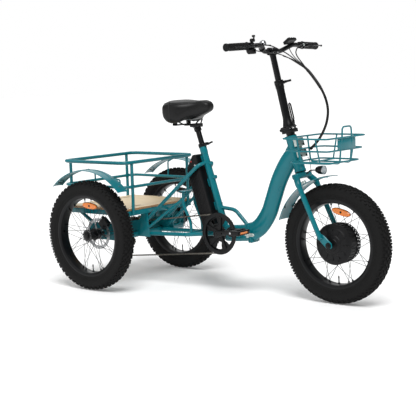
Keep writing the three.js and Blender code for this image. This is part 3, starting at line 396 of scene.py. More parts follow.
def modify(thing, kind, **values):
    pick(thing)
    bpy.ops.object.modifier_add(type=kind)
    modifier = thing.modifiers[-1]
    for key, value in values.items():
        setattr(modifier, key, value)
    bpy.ops.object.modifier_apply(modifier=modifier.name)
    return thing


def soften(thing, width, segments=2, angle=35):
    """Rounds the sharp edges."""
    return modify(thing, "BEVEL", width=width, segments=segments, limit_method="ANGLE",
                  angle_limit=radians(angle), harden_normals=False)


def twin(thing, place=Matrix.Identity(4)):
    """A copy with a mesh of its own, set down at another place."""
    pick(thing)
    bpy.ops.object.duplicate()
    copy = bpy.context.object
    copy.data = copy.data.copy()
    return settle(copy, place)


def merge(*things):
    flat = [t for t in things if t is not None]
    pick(*flat)
    if len(flat) > 1:
        bpy.ops.object.join()
    return bpy.context.object


def dye(thing, finish):
    thing.data.materials.clear()
    thing.data.materials.append(finish)
    return thing


def painted(finish, *things):
    """Several shapes of one finish, joined."""
    return dye(merge(*things), finish)


def moved(place):
    """The matrix that moves a shape by so many millimetres along X, Y and Z."""
    return Matrix.Translation(Vector(place) * MM)


def tilted(degrees, axis):
    """The matrix that turns a shape about one of the main axes."""
    return Matrix.Rotation(radians(degrees), 4, axis)


def keep(thing, name, body, replaces=(), angle=38):
    """Ends a piece: its name, its shading, the body it rides on and the plain solids it stands for."""
    pick(thing)
    thing.name = thing.data.name = name
    bpy.ops.object.shade_smooth_by_angle(angle=radians(angle))
    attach(thing, body)
    if replaces:
        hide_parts(*replaces)
    print(f"{name}: {sum(len(p.vertices) - 2 for p in thing.data.polygons)} triangles")
    return thing


# %% [markdown]
# Turned parts: a profile is drawn by extruding one vertex from point to point, and `spin` sweeps it
# round the axle. The same operator with its duplicates switched on sets copies of a block or a spoke
# evenly round the wheel, which is much quicker than placing each.

# %% Turned shapes and rings of copies
AXLE = (0, 1, 0)


def draw(points, closed=False):
    """A line of vertices, extruded from one to the next; open in edit mode, all selected."""
    deselect()
    places = [Vector(p) for p in points]
    bpy.ops.mesh.primitive_plane_add(size=0.001, location=places[0])
    bpy.ops.object.mode_set(mode="EDIT")
    bpy.ops.mesh.merge(type="CENTER")
    for a, b in zip(places, places[1:]):
        bpy.ops.mesh.extrude_region_move(TRANSFORM_OT_translate={"value": b - a})
    bpy.ops.mesh.select_all(action="SELECT")
    if closed:
        bpy.ops.mesh.edge_face_add()
    return bpy.context.object


def turn(profile, steps=48, closed=True):
    """A body of revolution about the Y axis from (radius, y) pairs in millimetres."""
    pairs = profile + profile[:1] if closed else profile
    shape = draw([(r * MM, y * MM, 0) for r, y in pairs])
    bpy.ops.mesh.spin(steps=steps, angle=2 * pi, center=(0, 0, 0), axis=AXLE)
    return tidy(shape)


def around(thing, count, axis=AXLE):
    """`count` copies of a shape in one mesh, evenly round the axis through the origin."""
    pick(thing)
    bpy.ops.object.mode_set(mode="EDIT")
    bpy.ops.mesh.select_all(action="SELECT")
    bpy.ops.mesh.spin(steps=count - 1, dupli=True, angle=2 * pi * (count - 1) / count,
                      center=(0, 0, 0), axis=axis)
    bpy.ops.object.mode_set(mode="OBJECT")
    return thing


def both_sides(half):
    """A profile given for +y only, closed by its own reflection."""
    return half + [(r, -y) for r, y in reversed(half)]


def cylinder(start, end, radius, sides=16, tip=None):
    """A rod between two points in metres; `tip` is its radius at the end, where it tapers."""
    a, b = Vector(start), Vector(end)
    deselect()
    bpy.ops.mesh.primitive_cone_add(vertices=sides, radius1=radius * MM,
                                    radius2=(radius if tip is None else tip) * MM, depth=(b - a).length)
    rod = bpy.context.object
    rod.matrix_world = Matrix.Translation((a + b) / 2) @ (b - a).to_track_quat("Z", "Y").to_matrix().to_4x4()
    return settle(rod)


def rod(start, end, radius, sides=32, tip=None):
    return cylinder(Vector(start) * MM, Vector(end) * MM, radius, sides, tip)


def block(low, high, rounding=1.0, segments=2):
    """A box between two corners in millimetres with its edges rounded."""
    deselect()
    size = [(b - a) * MM for a, b in zip(low, high)]
    bpy.ops.mesh.primitive_cube_add(size=1, location=[(a + b) / 2 * MM for a, b in zip(low, high)])
    cube = bpy.context.object
    cube.scale = size
    settle(cube)
    return soften(cube, rounding * MM, segments) if rounding else cube


def plate(outline, thickness, y=0.0, rounding=0.4):
    """A flat outline of (x, z) pairs in millimetres, made thick about y."""
    shape = draw([(x * MM, (y - thickness / 2) * MM, z * MM) for x, z in outline], closed=True)
    bpy.ops.mesh.extrude_region_move(TRANSFORM_OT_translate={"value": (0, thickness * MM, 0)})
    tidy(shape)
    return soften(shape, rounding * MM, 1) if rounding else shape


def carve(thing, *cutters):
    """Takes the cutters out of a shape."""
    tool = merge(*cutters)
    modify(thing, "BOOLEAN", object=tool, operation="DIFFERENCE", solver="EXACT", use_self=True)
    bpy.data.objects.remove(tool)
    return thing


# %% [markdown]
# Tubes: a curve through the tube's corners, with each corner rounded to the bend radius, given a
# round section by its bevel and turned into a mesh. The corners are those that the plain solids have,
# in millimetres, so every tube runs where its solid does.

# %% Bent tubes
def bend_corners(corners, radius, steps=6):
    """The corners of a bent tube with each inner one rounded off, in metres."""
    p = [Vector(c) * MM for c in corners]
    path = [p[0]]
    for before, here, after in zip(p, p[1:], p[2:]):
        back, on = before - here, after - here
        half = back.angle(on) / 2
        reach = min(radius * MM / max(1e-3, sin(half) / cos(half)), back.length * 0.49, on.length * 0.49)
        a, b = here + back.normalized() * reach, here + on.normalized() * reach
        for i in range(steps + 1):
            t = i / steps
            path.append((1 - t) ** 2 * a + 2 * t * (1 - t) * here + t * t * b)
    return path + [p[-1]]


def along(path, radius, ring=6, closed=False, section=None, taper=None):
    """A tube along a path in metres; `section` is an outline's (half width, half height) if not round."""
    deselect()
    bpy.ops.curve.primitive_nurbs_path_add()
    curve = bpy.context.object
    curve.data.splines.clear()
    spline = curve.data.splines.new("POLY")
    spline.points.add(len(path) - 1)
    for i, (point, place) in enumerate(zip(spline.points, path)):
        point.co = (*place, 1)
        point.radius = taper(i / (len(path) - 1)) if taper else 1
    spline.use_cyclic_u = closed
    curve.data.dimensions, curve.data.fill_mode, curve.data.use_fill_caps = "3D", "FULL", not closed
    curve.data.twist_mode = "Z_UP" if section else "MINIMUM"
    outline = None
    if section:
        bpy.ops.curve.primitive_bezier_circle_add(radius=1)
        outline = bpy.context.object
        outline.scale = (section[0] * MM, section[1] * MM, 1)
        outline.data.resolution_u = ring
        curve.data.bevel_mode, curve.data.bevel_object = "OBJECT", outline
    else:
        curve.data.bevel_depth, curve.data.bevel_resolution = radius * MM, ring
    pick(curve)
    bpy.ops.object.convert(target="MESH")
    if outline:
        bpy.data.objects.remove(outline)
    return tidy(curve)


def tube(corners, radius, bend=30, ring=6, steps=6):
    return along(bend_corners(corners, bend, steps), radius, ring)


def hoop(x0, x1, half, z, radius, corner, ring=5):
    """A level closed ring of tube with rounded corners."""
    middle = (x0 + x1) / 2
    corners = [(middle, -half, z), (x1, -half, z), (x1, half, z), (x0, half, z), (x0, -half, z),
               (middle, -half, z)]
    return along(bend_corners(corners, corner, 8)[:-1], radius, ring, closed=True)


def bolt(head, axis, radius=4.0, height=3.0, length=6.0):
    """A socket-head bolt whose head stands out along an axis from its place in metres."""
    out = Vector(axis).normalized()
    start = Vector(head)
    cap = soften(cylinder(start, start + out * height * MM, radius, 20), 0.5 * MM, 2)
    carve(cap, cylinder(start + out * height * 0.4 * MM, start + out * (height + 2) * MM, radius * 0.5, 6))
    return merge(cap, cylinder(start - out * length * MM, start, radius * 0.55, 10))


# %% [markdown]
# Many small solids already have the right shape and only look raw, because their edges are knife
# sharp and their faces flat. `refine` copies such a solid, merges its loose triangles, clears the
# needless edges on its flat faces and rounds the rest, as casting and machining would.

# %% Refining a plain solid
def refine(node, rounding=0.8, segments=2, angle=34):
    pick(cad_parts[node])
    bpy.ops.object.duplicate()
    copy = bpy.context.object
    copy.data = copy.data.copy()
    for key in [k for k in copy.keys() if k.startswith("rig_")]:
        del copy[key]
    copy.data.materials.clear()
    tidy(copy, outward=False)
    modify(copy, "DECIMATE", decimate_type="DISSOLVE", angle_limit=radians(4))
    if rounding:
        soften(copy, rounding * MM, segments, angle)
    return copy


def refined(node, body, finish, rounding=0.8, name=None, angle=34):
    copy = dye(refine(node, rounding, angle=angle), finish)
    return keep(copy, name or f"{node}_finished", body, [node])


# %% [markdown]
# The main places, taken from the plain solids: the wheels' centres from the tyres' boxes, and three
# leaning frames of reference that the seat tube, the head tube and the handlebar post stand in.

# %% Places
front_low, front_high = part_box("front_tyre")
WHEEL_R = (front_high[2] - front_low[2]) / 2 / MM
HALF_TYRE = (front_high[1] - front_low[1]) / 2 / MM


def centre_of(node):
    low, high = (Vector(corner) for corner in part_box(node))
    return (low + high) / 2


FRONT, REAR_RIGHT, REAR_LEFT = (centre_of(f"{w}_tyre") for w in ("front", "rear_right", "rear_left"))


def leaning(foot_x, foot_z, lean):
    """A frame of reference that stands at a point of the middle plane and leans back, in metres."""
    return Matrix.Translation((foot_x * MM, 0, foot_z * MM)) @ tilted(-lean, "Y")


SEAT = leaning(-20, 288, 18.1)
HEAD = leaning(379, 766, 17.1)
POST = leaning(371, 799, 13.5)


def on(place, x, y, z):
    """A point given in millimetres in a leaning frame, as millimetres of the tricycle's."""
    return tuple(place @ (Vector((x, y, z)) * MM) / MM)


print("wheel radius", round(WHEEL_R, 1), "front", FRONT, "rear", REAR_RIGHT, REAR_LEFT)

# %% [markdown]
# ## Wheels
#
# The tyre is a lathe shape: a round casing with a raised bead at the rim and fine ribs moulded round
# the sidewall. The tread is separate blocks in five rows: low centre blocks, and taller shoulder
# blocks that stand out sideways and give a wide tyre its toothed outline. One block of each row is
# modelled and `around` repeats it.

# %% Tyre
def tread_block(y, width, length, height, tilt, lead):
    """A block of tread on the casing at sideways place y, `lead` degrees on from the top."""
    deselect()
    bpy.ops.mesh.primitive_cube_add(size=1)
    knob = bpy.context.object
    bpy.ops.object.mode_set(mode="EDIT")
    bpy.ops.mesh.select_all(action="SELECT")
    bpy.ops.transform.resize(value=(length * MM, width * MM, height * MM))
    bpy.ops.object.mode_set(mode="OBJECT")
    for vertex in knob.data.vertices:
        if vertex.co.z > 0:
            vertex.co.x *= 0.82
            vertex.co.y *= 0.84
    base = hypot(WHEEL_R - height / 2 - abs(tilt) * 0.16, 0)
    settle(knob, Matrix.Translation((0, y * MM, base * MM)) @ tilted(tilt, "X"))
    return settle(knob, tilted(lead, "Y"))


def make_tyre():
    half, crown = HALF_TYRE, WHEEL_R - 5
    side = [(203, 25), (205, 29), (209, 31), (213, 32.2), (215, 33.6), (217, 33), (224, 35.6), (226, 36.4),
            (228, 36), (236, half - 0.6), (244, half - 0.4), (252, half - 1.6), (260, half - 5),
            (266, half - 11), (270, half - 19), (crown, half - 29)]
    casing = turn(both_sides(side), 96)
    count = 56
    step = 360 / count
    rows = [(0, 13, 15, 8, 0, 0), (13, 10, 13, 8, -10, step / 2), (-13, 10, 13, 8, 10, step / 2),
            (25.5, 9.5, 14, 9, -30, 0), (-25.5, 9.5, 14, 9, 30, 0),
            (33.2, 7, 9, 9, -58, step / 2), (-33.2, 7, 9, 9, 58, step / 2)]
    knobs = [around(tread_block(*row), count) for row in rows]
    ribs = [around(block((-1.3, y - 1.5, 222), (1.3, y + 1.5, 246), 0), 112) for y in (35.4, -35.4)]
    return painted(tyre_rubber, casing, *knobs, *ribs)


# %% [markdown]
# The rim is an extrusion rolled into a hoop: two hooked flanges hold the tyre, and a shallow well
# between them takes the spokes. Spokes leave alternate sides of the hub and cross each other, and
# each ends in a short nipple at the rim. A valve and an amber reflector break the regularity.

# %% Rim, spokes and trimmings
def make_rim(flange, spread, count, lean):
    half = [(207, 28.5), (207, 30.2), (203, 31), (198, 30), (190, 26), (187, 18), (187, 0)]
    outer = [(193, 16), (196, 22), (201, 26)]
    section = half + [(r, -y) for r, y in reversed(half[:-1])] + [(r, -y) for r, y in reversed(outer)] + outer
    hoop_part = dye(turn(section, 96), satin_black)
    wires = []
    for side in (1, -1):
        for way in (1, -1):
            hub_y = side * (spread + (1.6 if way > 0 else -1.2))
            start = Vector((flange * MM, hub_y * MM, 0))
            turned = radians(way * lean)
            end = Vector((188 * cos(turned), side * 6, 188 * sin(turned))) * MM
            shift = Matrix.Rotation(2 * pi / count * (0.5 * (side > 0) + 0.25 * (way > 0)), 4, "Y")
            wire = cylinder(start, end, 1.15, 6)
            nipple = cylinder(end + (start - end).normalized() * 0.011, end, 2.1, 8, 2.6)
            wires.append(around(settle(merge(wire, nipple), shift), count // 2))
    return merge(hoop_part, painted(spoke_steel, *wires))


def make_valve(angle):
    stem = cylinder((0.187, 0, 0), (0.160, 0, 0), 3.4, 14, 2.6)
    nut = soften(cylinder((0.186, 0, 0), (0.182, 0, 0), 6, 6), 0.4 * MM, 1)
    cap = cylinder((0.161, 0, 0), (0.150, 0, 0), 3.6, 12, 2.9)
    return settle(painted(gloss_black, stem, nut, cap), tilted(angle, "Y"))


def make_reflector(angle, side):
    """A curved amber lens clipped to a spoke; `angle` turns it forwards from the +X direction."""
    y = side * 11

    def oval(half, end):
        return [(151 + half * sin(2 * pi * k / 28), end * cos(2 * pi * k / 28)) for k in range(28)]

    shell = plate([(x, (1 if z > 0 else -1) * abs(z / 50) ** 0.75 * 50) for x, z in oval(15, 50)], 9, y, 3)
    back = plate([(x, (1 if z > 0 else -1) * abs(z / 51) ** 0.75 * 51) for x, z in oval(16, 51)], 4,
                 y - side * 3.4, 1)
    clip = soften(rod((151, y - 6, 0), (151, y + 6, 0), 5.4, 20), 1 * MM)
    whole = merge(dye(shell, amber), painted(gloss_black, back, clip))
    return settle(whole, tilted(angle, "Y"))


first_tyre = make_tyre()
tyres = {"front": first_tyre, "rear_right": twin(first_tyre), "rear_left": twin(first_tyre)}
rear_rim = make_rim(30, 21, 18, 62)
rims = {"front": make_rim(93, 23, 18, 24), "rear_right": rear_rim, "rear_left": twin(rear_rim)}
REFLECTOR_AT = {"front": -78, "rear_right": -85, "rear_left": -85}
for wheel, centre in (("front", FRONT), ("rear_right", REAR_RIGHT), ("rear_left", REAR_LEFT)):
    place = Matrix.Translation(centre)
    outboard = 1 if wheel == "rear_left" else -1
    body = "front_wheel" if wheel == "front" else f"{wheel}_wheel"
    keep(settle(tyres[wheel], place), f"{wheel}_tread_tyre", body, [f"{wheel}_tyre"], 42)
    laced = merge(rims[wheel], make_valve(88), make_reflector(REFLECTOR_AT[wheel], outboard))
    keep(settle(laced, place), f"{wheel}_laced_rim", body, [f"{wheel}_rim"])

# %% [markdown]
# The front hub holds the motor: a wide drum with cooling ribs cast round its edge, a domed cover
# with a ring of screws on each side, and the axle's nuts outside. The rear hubs are small, with two
# spoke flanges and a dust cap, and a half shaft that runs inboard to the carrier.

# %% Hubs
def make_motor():
    half = [(92, 0), (92, 24), (95.5, 24.6), (95.5, 27.4), (91, 28.4), (86, 32), (78, 34), (76, 36.4),
            (46, 40.4), (44, 43), (30, 45), (28, 48), (12, 48.4), (9.5, 48.4)]
    drum = turn(both_sides(half)[:-1], 72)
    ribs = around(block((86, -22, -1.7), (95, 22, 1.7), 0.8, 1), 36)
    spokes_cast = [around(block((48, side * 38.2 - 2.6, -2.2), (75, side * 38.2 + 2.6, 2.2), 1, 1), 12)
                   for side in (1, -1)]
    screws = [around(bolt((0.081, side * 0.0336, 0), (0, side, 0), 3.1, 2.2), 10) for side in (1, -1)]
    return merge(painted(powder_black, drum, ribs, *spokes_cast), painted(satin_black, *screws))


def make_rear_hub():
    """Outboard is +Y here."""
    reach = abs(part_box("rear_left_hub")[0][1] - REAR_LEFT.y) / MM
    shell = turn([(0, 37), (11, 37), (15, 35), (16, 27), (20, 25.5), (30, 25), (31, 23.5), (30, 22), (19, 20),
                  (17, 12), (17, -12), (19, -20), (30, -22), (31, -23.5), (30, -25), (22, -27), (21, -50),
                  (24, -51), (24, -53.4), (9, -61), (9, -reach), (0, -reach)], 48, closed=False)
    pad = [around(cylinder((0.026, y * MM, 0), (0.026, (y + 0.9) * MM, 0), 1.4, 8), 18) for y in (25, -25.9)]
    return merge(dye(shell, satin_black), painted(bright_steel, *pad))


def make_rotor(outer, inner, y, carrier):
    """A brake rotor: a drilled band on five swept arms, bolted to its carrier."""
    band = turn([(inner, y - 1), (outer, y - 1), (outer, y + 1), (inner, y + 1)], 96)
    holes = []
    for row, count in ((inner + 4, 30), (outer - 4.5, 36)):
        holes.append(around(cylinder((row * MM, (y - 3) * MM, 0), (row * MM, (y + 3) * MM, 0), 2.5, 8),
                            count))
    carve(band, *holes)
    arm = plate([(carrier - 4, -4), (carrier - 4, 5), ((carrier + inner) / 2, 11), (inner + 1, 15),
                 (inner + 2, 7), ((carrier + inner) / 2, 2)], 1.9, y, 0.3)
    hub_ring = turn([(carrier - 10, y - 1), (carrier, y - 1), (carrier, y + 1), (carrier - 10, y + 1)], 48)
    screws = around(bolt(((carrier - 5) * MM, (y - 1) * MM, 0), (0, -1, 0), 3.4, 2.6, 3), 6)
    return merge(painted(rotor_steel, band, around(arm, 6), hub_ring), dye(screws, satin_black))


hub = merge(make_rear_hub(), make_rotor(79, 63, -55, 26))
right_hub = twin(hub)
right_hub.matrix_world = Matrix.Rotation(pi, 4, "Z")
settle(right_hub)
keep(settle(right_hub, Matrix.Translation(REAR_RIGHT)), "rear_right_hub_and_rotor", "rear_right_wheel",
     ["rear_right_hub"])
keep(settle(hub, Matrix.Translation(REAR_LEFT)), "rear_left_hub_and_rotor", "rear_left_wheel",
     ["rear_left_hub"])
keep(settle(make_motor(), Matrix.Translation(FRONT)), "front_motor_casting", "front_wheel",
     ["front_hub_motor"])
disc = make_rotor(91, 74, 57, 26)
keep(settle(disc, Matrix.Translation(FRONT)), "front_rotor", "front_wheel", ["front_brake_disc"])

# %% [markdown]
# ## The folding frame
#
# The rear half hangs on the seat tube. A fat oval boom runs forward from the bottom bracket to the
# hinge, a thin arch braces it from above, two long stays lead back to the deck and two chainstays
# to the axle plates, with a small tower behind the battery. Each tube is bent along the corners of
# its solid. Where two tubes meet, a thin ring stands for the weld's bead.

# %% Rear frame
HINGE = {"x": 132, "y": 44, "z": 295, "tilt": 14}


def weld(place, direction, radius, bead=1.7):
    """The bead round a tube's end, in millimetres."""
    deselect()
    bpy.ops.mesh.primitive_torus_add(major_radius=radius * MM, minor_radius=bead * MM,
                                     major_segments=28, minor_segments=8)
    ring = bpy.context.object
    turned = Vector(direction).to_track_quat("Z", "Y").to_matrix().to_4x4()
    ring.matrix_world = moved(place) @ turned
    return settle(ring)


def hinge_plate(x):
    plate_shape = block((-4.5, -30, -48), (4.5, 30, 48), 3.5, 3)
    place = Matrix.Translation((x * MM, 0, HINGE["z"] * MM)) @ tilted(-HINGE["tilt"], "Y")
    return settle(plate_shape, place)


def knuckle(x, low, high):
    """A barrel of the frame hinge and the web that ties it to its plate."""
    barrel = soften(rod((HINGE["x"], HINGE["y"], low), (HINGE["x"], HINGE["y"], high), 8.5, 24), 0.6 * MM)
    middle = (low + high) / 2
    shift = -(middle - HINGE["z"]) * sin(radians(HINGE["tilt"])) / cos(radians(HINGE["tilt"]))
    a, b = sorted((x + shift, HINGE["x"]))
    web = block((a - 3, 24, low + 1), (b + 3, HINGE["y"], high - 1), 1.5)
    return merge(barrel, web)


def make_rear_frame():
    seat_tube = rod(on(SEAT, 0, 0, 0), on(SEAT, 0, 0, 438), 17, 40)
    sleeve = soften(rod(on(SEAT, 0, 0, 404), on(SEAT, 0, 0, 438), 18.6, 40), 0.8 * MM)
    shell = turn([(14, -36), (22, -36), (23, -35), (23, 35), (22, 36), (14, 36)], 48)
    settle(shell, Matrix.Translation((-0.02, 0, 0.288)))
    boom = along([Vector(p) * MM for p in ((-20, 0, 284), (20, 0, 285), (60, 0, 288), (100, 0, 292),
                                           (126, 0, 295))],
                 0, 8, section=(24, 41))
    arch = tube([on(SEAT, 0, 0, 128), (36, 0, 402), (100, 0, 340), (118, 0, 318)], 9.5, 70, 6, 12)
    lugs = []
    for s in (350, 280):
        lugs.append(soften(rod(on(SEAT, 8, 0, s), on(SEAT, 30, 0, s - 4), 10, 24), 1.6 * MM, 3))
        lugs.append(rod(on(SEAT, 30, 0, s - 4), on(SEAT, 31.5, 0, s - 4), 4.4, 6))
    rails = [settle(block((-22, -12, s - 20), (-14, 12, s + 20), 1.2), SEAT) for s in (140, 260, 380)]
    parts = [seat_tube, sleeve, shell, boom, arch, *lugs, *rails, hinge_plate(HINGE["x"] - 5.2),
             knuckle(HINGE["x"] - 5.2, 279, 311), block((-280, -62, 481.5), (-234, 62, 486.5), 1.5),
             rod((-214, -52, 276), (-214, 52, 276), 8)]
    for y in (-1, 1):
        parts.append(tube([on(SEAT, -2, y * 12, 360), on(SEAT, -16, y * 59, 352), (-478, y * 82, 330)],
                          9, 34, 6, 10))
        parts.append(tube([(-30, y * 24, 282), (-126, y * 32, 275), (-230, y * 62, 268), (-526, y * 80, 258)],
                          10, 60, 6, 8))
        parts.append(tube([(-214, y * 44, 271), (-216, y * 44, 330), (-262, y * 44, 420),
                           (-258, y * 44, 482)],
                          7.5, 90, 6, 8))
        parts.append(tube([(-260, y * 44, 446), (-460, y * 83, 296)], 7.5, 40))
        parts.append(weld((-214, y * 44, 279), (0, 0, 1), 8))
        parts.append(weld((-258, y * 44, 478), (0, 0, 1), 8))
    parts.append(weld(on(SEAT, 0, 0, 26), (-0.31, 0, 0.95), 17.2, 2.2))
    parts.append(weld(on(SEAT, 10, 0, 140), (0.6, 0, -0.5), 10.6))
    return painted(teal, *parts)


keep(make_rear_frame(), "rear_frame_tubes", "rear_frame", ["rear_frame"])

# %% [markdown]
# The main tube is the frame's signature: one thick oval tube that leaves the hinge almost level,
# swoops up and runs into the head tube. Its path is a smooth curve through the solid's own points.

# %% Front frame
def smooth(points, per_span=6):
    """A Catmull-Rom curve through points in millimetres, as a path in metres."""
    p = [Vector(q) * MM for q in points]
    p = [2 * p[0] - p[1]] + p + [2 * p[-1] - p[-2]]
    path = []
    for a, b, c, d in zip(p, p[1:], p[2:], p[3:]):
        for i in range(per_span):
            t = i / per_span
            path.append(0.5 * (2 * b + (c - a) * t + (2 * a - 5 * b + 4 * c - d) * t * t
                               + (3 * b - a - 3 * c + d) * t ** 3))
    return path + [p[-2]]


def make_front_frame():
    plate_x = HINGE["x"] + 5.2
    spine = smooth([(plate_x - 1, 0, 295), (192, 0, 333), (240, 0, 396), (268, 0, 462), (306, 0, 556),
                    (352, 0, 634), (398, 0, 688)], 8)
    main_tube = along(spine, 0, 10, section=(26, 43))
    head = turn([(15.5, 0), (26, 0), (27.5, -1), (27.5, -9), (26, -12), (26, -160), (27.5, -163),
                 (27.5, -171), (26, -172), (15.5, -172)], 48)
    settle(head, HEAD @ tilted(90, "X"))
    gusset = plate([(352, 700), (384, 742), (410, 640), (376, 610)], 34, 0, 6)
    catch = carve(block((133, -39, 280), (149, -26, 306), 2), rod((144, -47.5, 284), (144, -47.5, 302), 17))
    return painted(teal, main_tube, head, gusset, hinge_plate(plate_x), catch,
                     knuckle(plate_x, 249, 278.6), knuckle(plate_x, 311.4, 341))


front_half = make_front_frame()
cups = []
for z, low, high in ((0, 0, 2.4), (-172, -2.4, 0)):
    cup = turn([(15, low), (27, low), (28, (low + high) / 2), (27, high), (15, high)], 48)
    cups.append(settle(cup, HEAD @ Matrix.Translation((0, 0, z * MM)) @ tilted(90, "X")))
keep(merge(front_half, painted(satin_black, *cups)), "front_frame_tubes", "front_frame",
     ["front_frame"])

# %% [markdown]
# The hinge is held shut by a cast latch on the right: a ribbed lever on a barrel, with a hook that
# grips the rear plate. It is bare aluminium and the brightest thing low on the frame.

# %% Frame latch
def make_frame_latch():
    place = Matrix.Translation((0.144, -0.0475, 0.293))
    barrel = soften(rod((0, 0, -15), (0, 0, 15), 7, 24), 1 * MM)
    lever = plate([(-3, -8), (-3, 8), (30, 8), (42, 5.5), (44, 0), (42, -5.5), (30, -8)], 5.6, -5, 1.6)
    carve(lever, block((8, -9.5, -4.4), (36, -6.2, 4.4), 1))
    ribs = [block((x, -7.6, -4.6), (x + 1.6, -5, 4.6), 0.4, 1) for x in (14, 20, 26, 32)]
    hook = block((-15.5, -5, -7), (0, -1, 7), 1.2)
    ends = [bolt((0, 0, z * MM), (0, 0, z), 4.2, 2, 4) for z in (13.4, -13.4)]
    return settle(merge(painted(cast_silver, barrel, lever, hook, *ribs), painted(bright_steel, *ends)),
                  place)


keep(make_frame_latch(), "frame_latch_lever", "frame_latch", ["frame_latch"])

# %% [markdown]
# ## Carrier, deck and tray
#
# The carrier is welded from square bar and laser-cut plate, so its plain solid is already the right
# shape and only wants its edges rounded. Bolts hold the deck and the axle's bearings.

# %% Carrier and deck
carrier = dye(refine("rear_carrier", 1.2, angle=50), teal)
bearing_bolts = []
for y in (-264.5, -99, 99, 264.5):
    side = 1 if y > 0 else -1
    for dx, dz in ((-20, 20), (20, 20), (20, -20), (-20, -20)):
        bearing_bolts.append(bolt(((-623 + dx) * MM, (y - 1.5 * side if abs(y) > 200 else y) * MM,
                                   (278 + dz) * MM),
                                  (0, side, 0), 4, 3, 4))
keep(merge(carrier, painted(satin_black, *bearing_bolts)), "carrier_bars", "rear_frame",
     ["rear_carrier"], 50)

deck_low, deck_high = (Vector(c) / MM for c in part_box("cargo_deck"))
board = block(deck_low, deck_high, 1.6, 3)
slots = []
for x in (deck_low.x + 60, deck_high.x - 60):
    for y in (-120, 120):
        slots.append(block((x - 6, y - 36, deck_low.z - 5), (x + 6, y + 36, deck_high.z + 5), 5.5, 4))
carve(board, *slots)
deck_bolts = [bolt((x * MM, y * MM, deck_high.z * MM), (0, 0, 1), 6, 1.8, 6)
              for x in (deck_low.x + 16, (deck_low.x + deck_high.x) / 2,
                        deck_high.x - 16) for y in (-226, 226)]
keep(merge(dye(board, plywood), painted(bright_steel, *deck_bolts)), "plywood_deck", "rear_frame",
     ["cargo_deck"])

# %% [markdown]
# The tray is two level hoops of tube on four bent posts that reach down the outside of the deck.
# A weld ring marks each place where a post meets a hoop.

# %% Tray
def make_tray():
    front, rear, half, inset, foot = -447, -886, 262, 50, 373
    parts = [hoop(rear, front, half, 638, 9, 45), hoop(rear, front, half, 516, 7.5, 45)]
    for x, deck_edge in ((front, deck_high.x), (rear, deck_low.x)):
        out = deck_edge + (8.4 if x > deck_edge else -8.4)
        for y in (-(half - inset), half - inset):
            parts.append(tube([(x, y, 638), (x, y, 456), (out, y, foot + 30), (out, y, foot)], 8, 200, 6, 8))
            for z in (628.5, 524.5, 507.5):
                parts.append(weld((x, y, z), (0, 0, 1), 8.2, 1.3))
    return painted(teal, *parts)


keep(make_tray(), "tray_rails", "rear_frame", ["cargo_tray"])

# %% [markdown]
# A mudguard is a strip of steel rolled to a shallow crown with its long edges curled under. Its
# cross-section is drawn once and spun through part of a turn about the axle. Black stays and rivets
# carry it, and a painted bracket ties it to the tray.

# %% Mudguards
def arc(section, start, end, steps=40):
    """A closed (radius, y) section swept about the axle between two angles above the forward line."""
    shape = draw([(r * MM, y * MM, 0) for r, y in section], closed=True)
    bpy.ops.mesh.spin(steps=steps, angle=radians(end - start), center=(0, 0, 0), axis=AXLE)
    bpy.ops.mesh.select_all(action="SELECT")
    bpy.ops.mesh.fill_holes(sides=0)
    settle(tidy(shape))
    middle = sum((v.co for v in shape.data.vertices), Vector()) / len(shape.data.vertices)
    found = atan2(middle.z, middle.x)
    return settle(shape, Matrix.Rotation(found - radians((start + end) / 2), 4, "Y"))


def guard_section(radius, half, crown=3.5, wall=1.6):
    top = [(radius + crown * (1 - (y / half) ** 2),
            y) for y in [half * t for t in (1, .9, .7, .4, 0, -.4, -.7, -.9, -1)]]
    under = [(r - wall, y * 0.97) for r, y in reversed(top[1:-1])]
    lip = 3.2
    return top + [(radius - lip, -half), (radius - lip, -half + wall)] + under + \
        [(radius - lip, half - wall), (radius - lip, half)]


def angled(radius, angle, y=0.0):
    """A point in millimetres at an angle above the forward line."""
    return (radius * cos(radians(angle)), y, radius * sin(radians(angle)))


def make_rear_guard(inward):
    strip = dye(arc(guard_section(330, 33, 2.6), 44, 133), teal)
    tray_y = 347 - 262 - 9.4
    arms, rivets, stays = [], [], []
    for a in (62, 93):
        top, low_z = angled(331, a, inward * 20), 516 - 278
        low = (top[0], inward * tray_y, low_z)
        arms.append(tube([top, (top[0], inward * (tray_y - 8), top[2] - 14),
                          (low[0], low[1] - inward * 6, low_z + 4),
                          low], 4, 10, 4, 4))
        arms.append(settle(block((-9, -14, -1.5), (9, 14, 1.5), 1), Matrix.Translation(
            Vector(angled(328.4, a, inward * 16)) * MM) @ tilted(90 - a, "Y")))
        rivets += [bolt(Vector(angled(332.6, a, inward * y)) * MM, angled(1, a), 3.6, 1.6,
                        3) for y in (10, 22)]
    for a in (50, 127):
        rivets.append(bolt(Vector(angled(332.4, a, 0)) * MM, angled(1, a), 3.4, 1.4, 3))
        stays.append(tube([angled(329, a, 20), angled(318, a, 0), angled(329, a, -20)], 2.2, 6, 3))
    return merge(strip, painted(teal, *arms), painted(bright_steel, *rivets), painted(satin_black, *stays))


for wheel, centre, inward in (("rear_right", REAR_RIGHT, 1), ("rear_left", REAR_LEFT, -1)):
    keep(settle(make_rear_guard(inward), Matrix.Translation(centre)), f"{wheel}_guard", "rear_frame",
         [f"{wheel}_mudguard"])

# %% [markdown]
# ## Seat
#
# A wide comfort saddle: broad and rounded at the back, with a short nose that turns down, a shallow
# dip in the top, and side panels joined to it by a raised seam. The shape is skinned over
# stations along its length, swelled a little by a cloth simulation as foam swells a cover, and then
# smoothed. The piping and the rubber bumpers are added afterwards, so that they stay crisp.

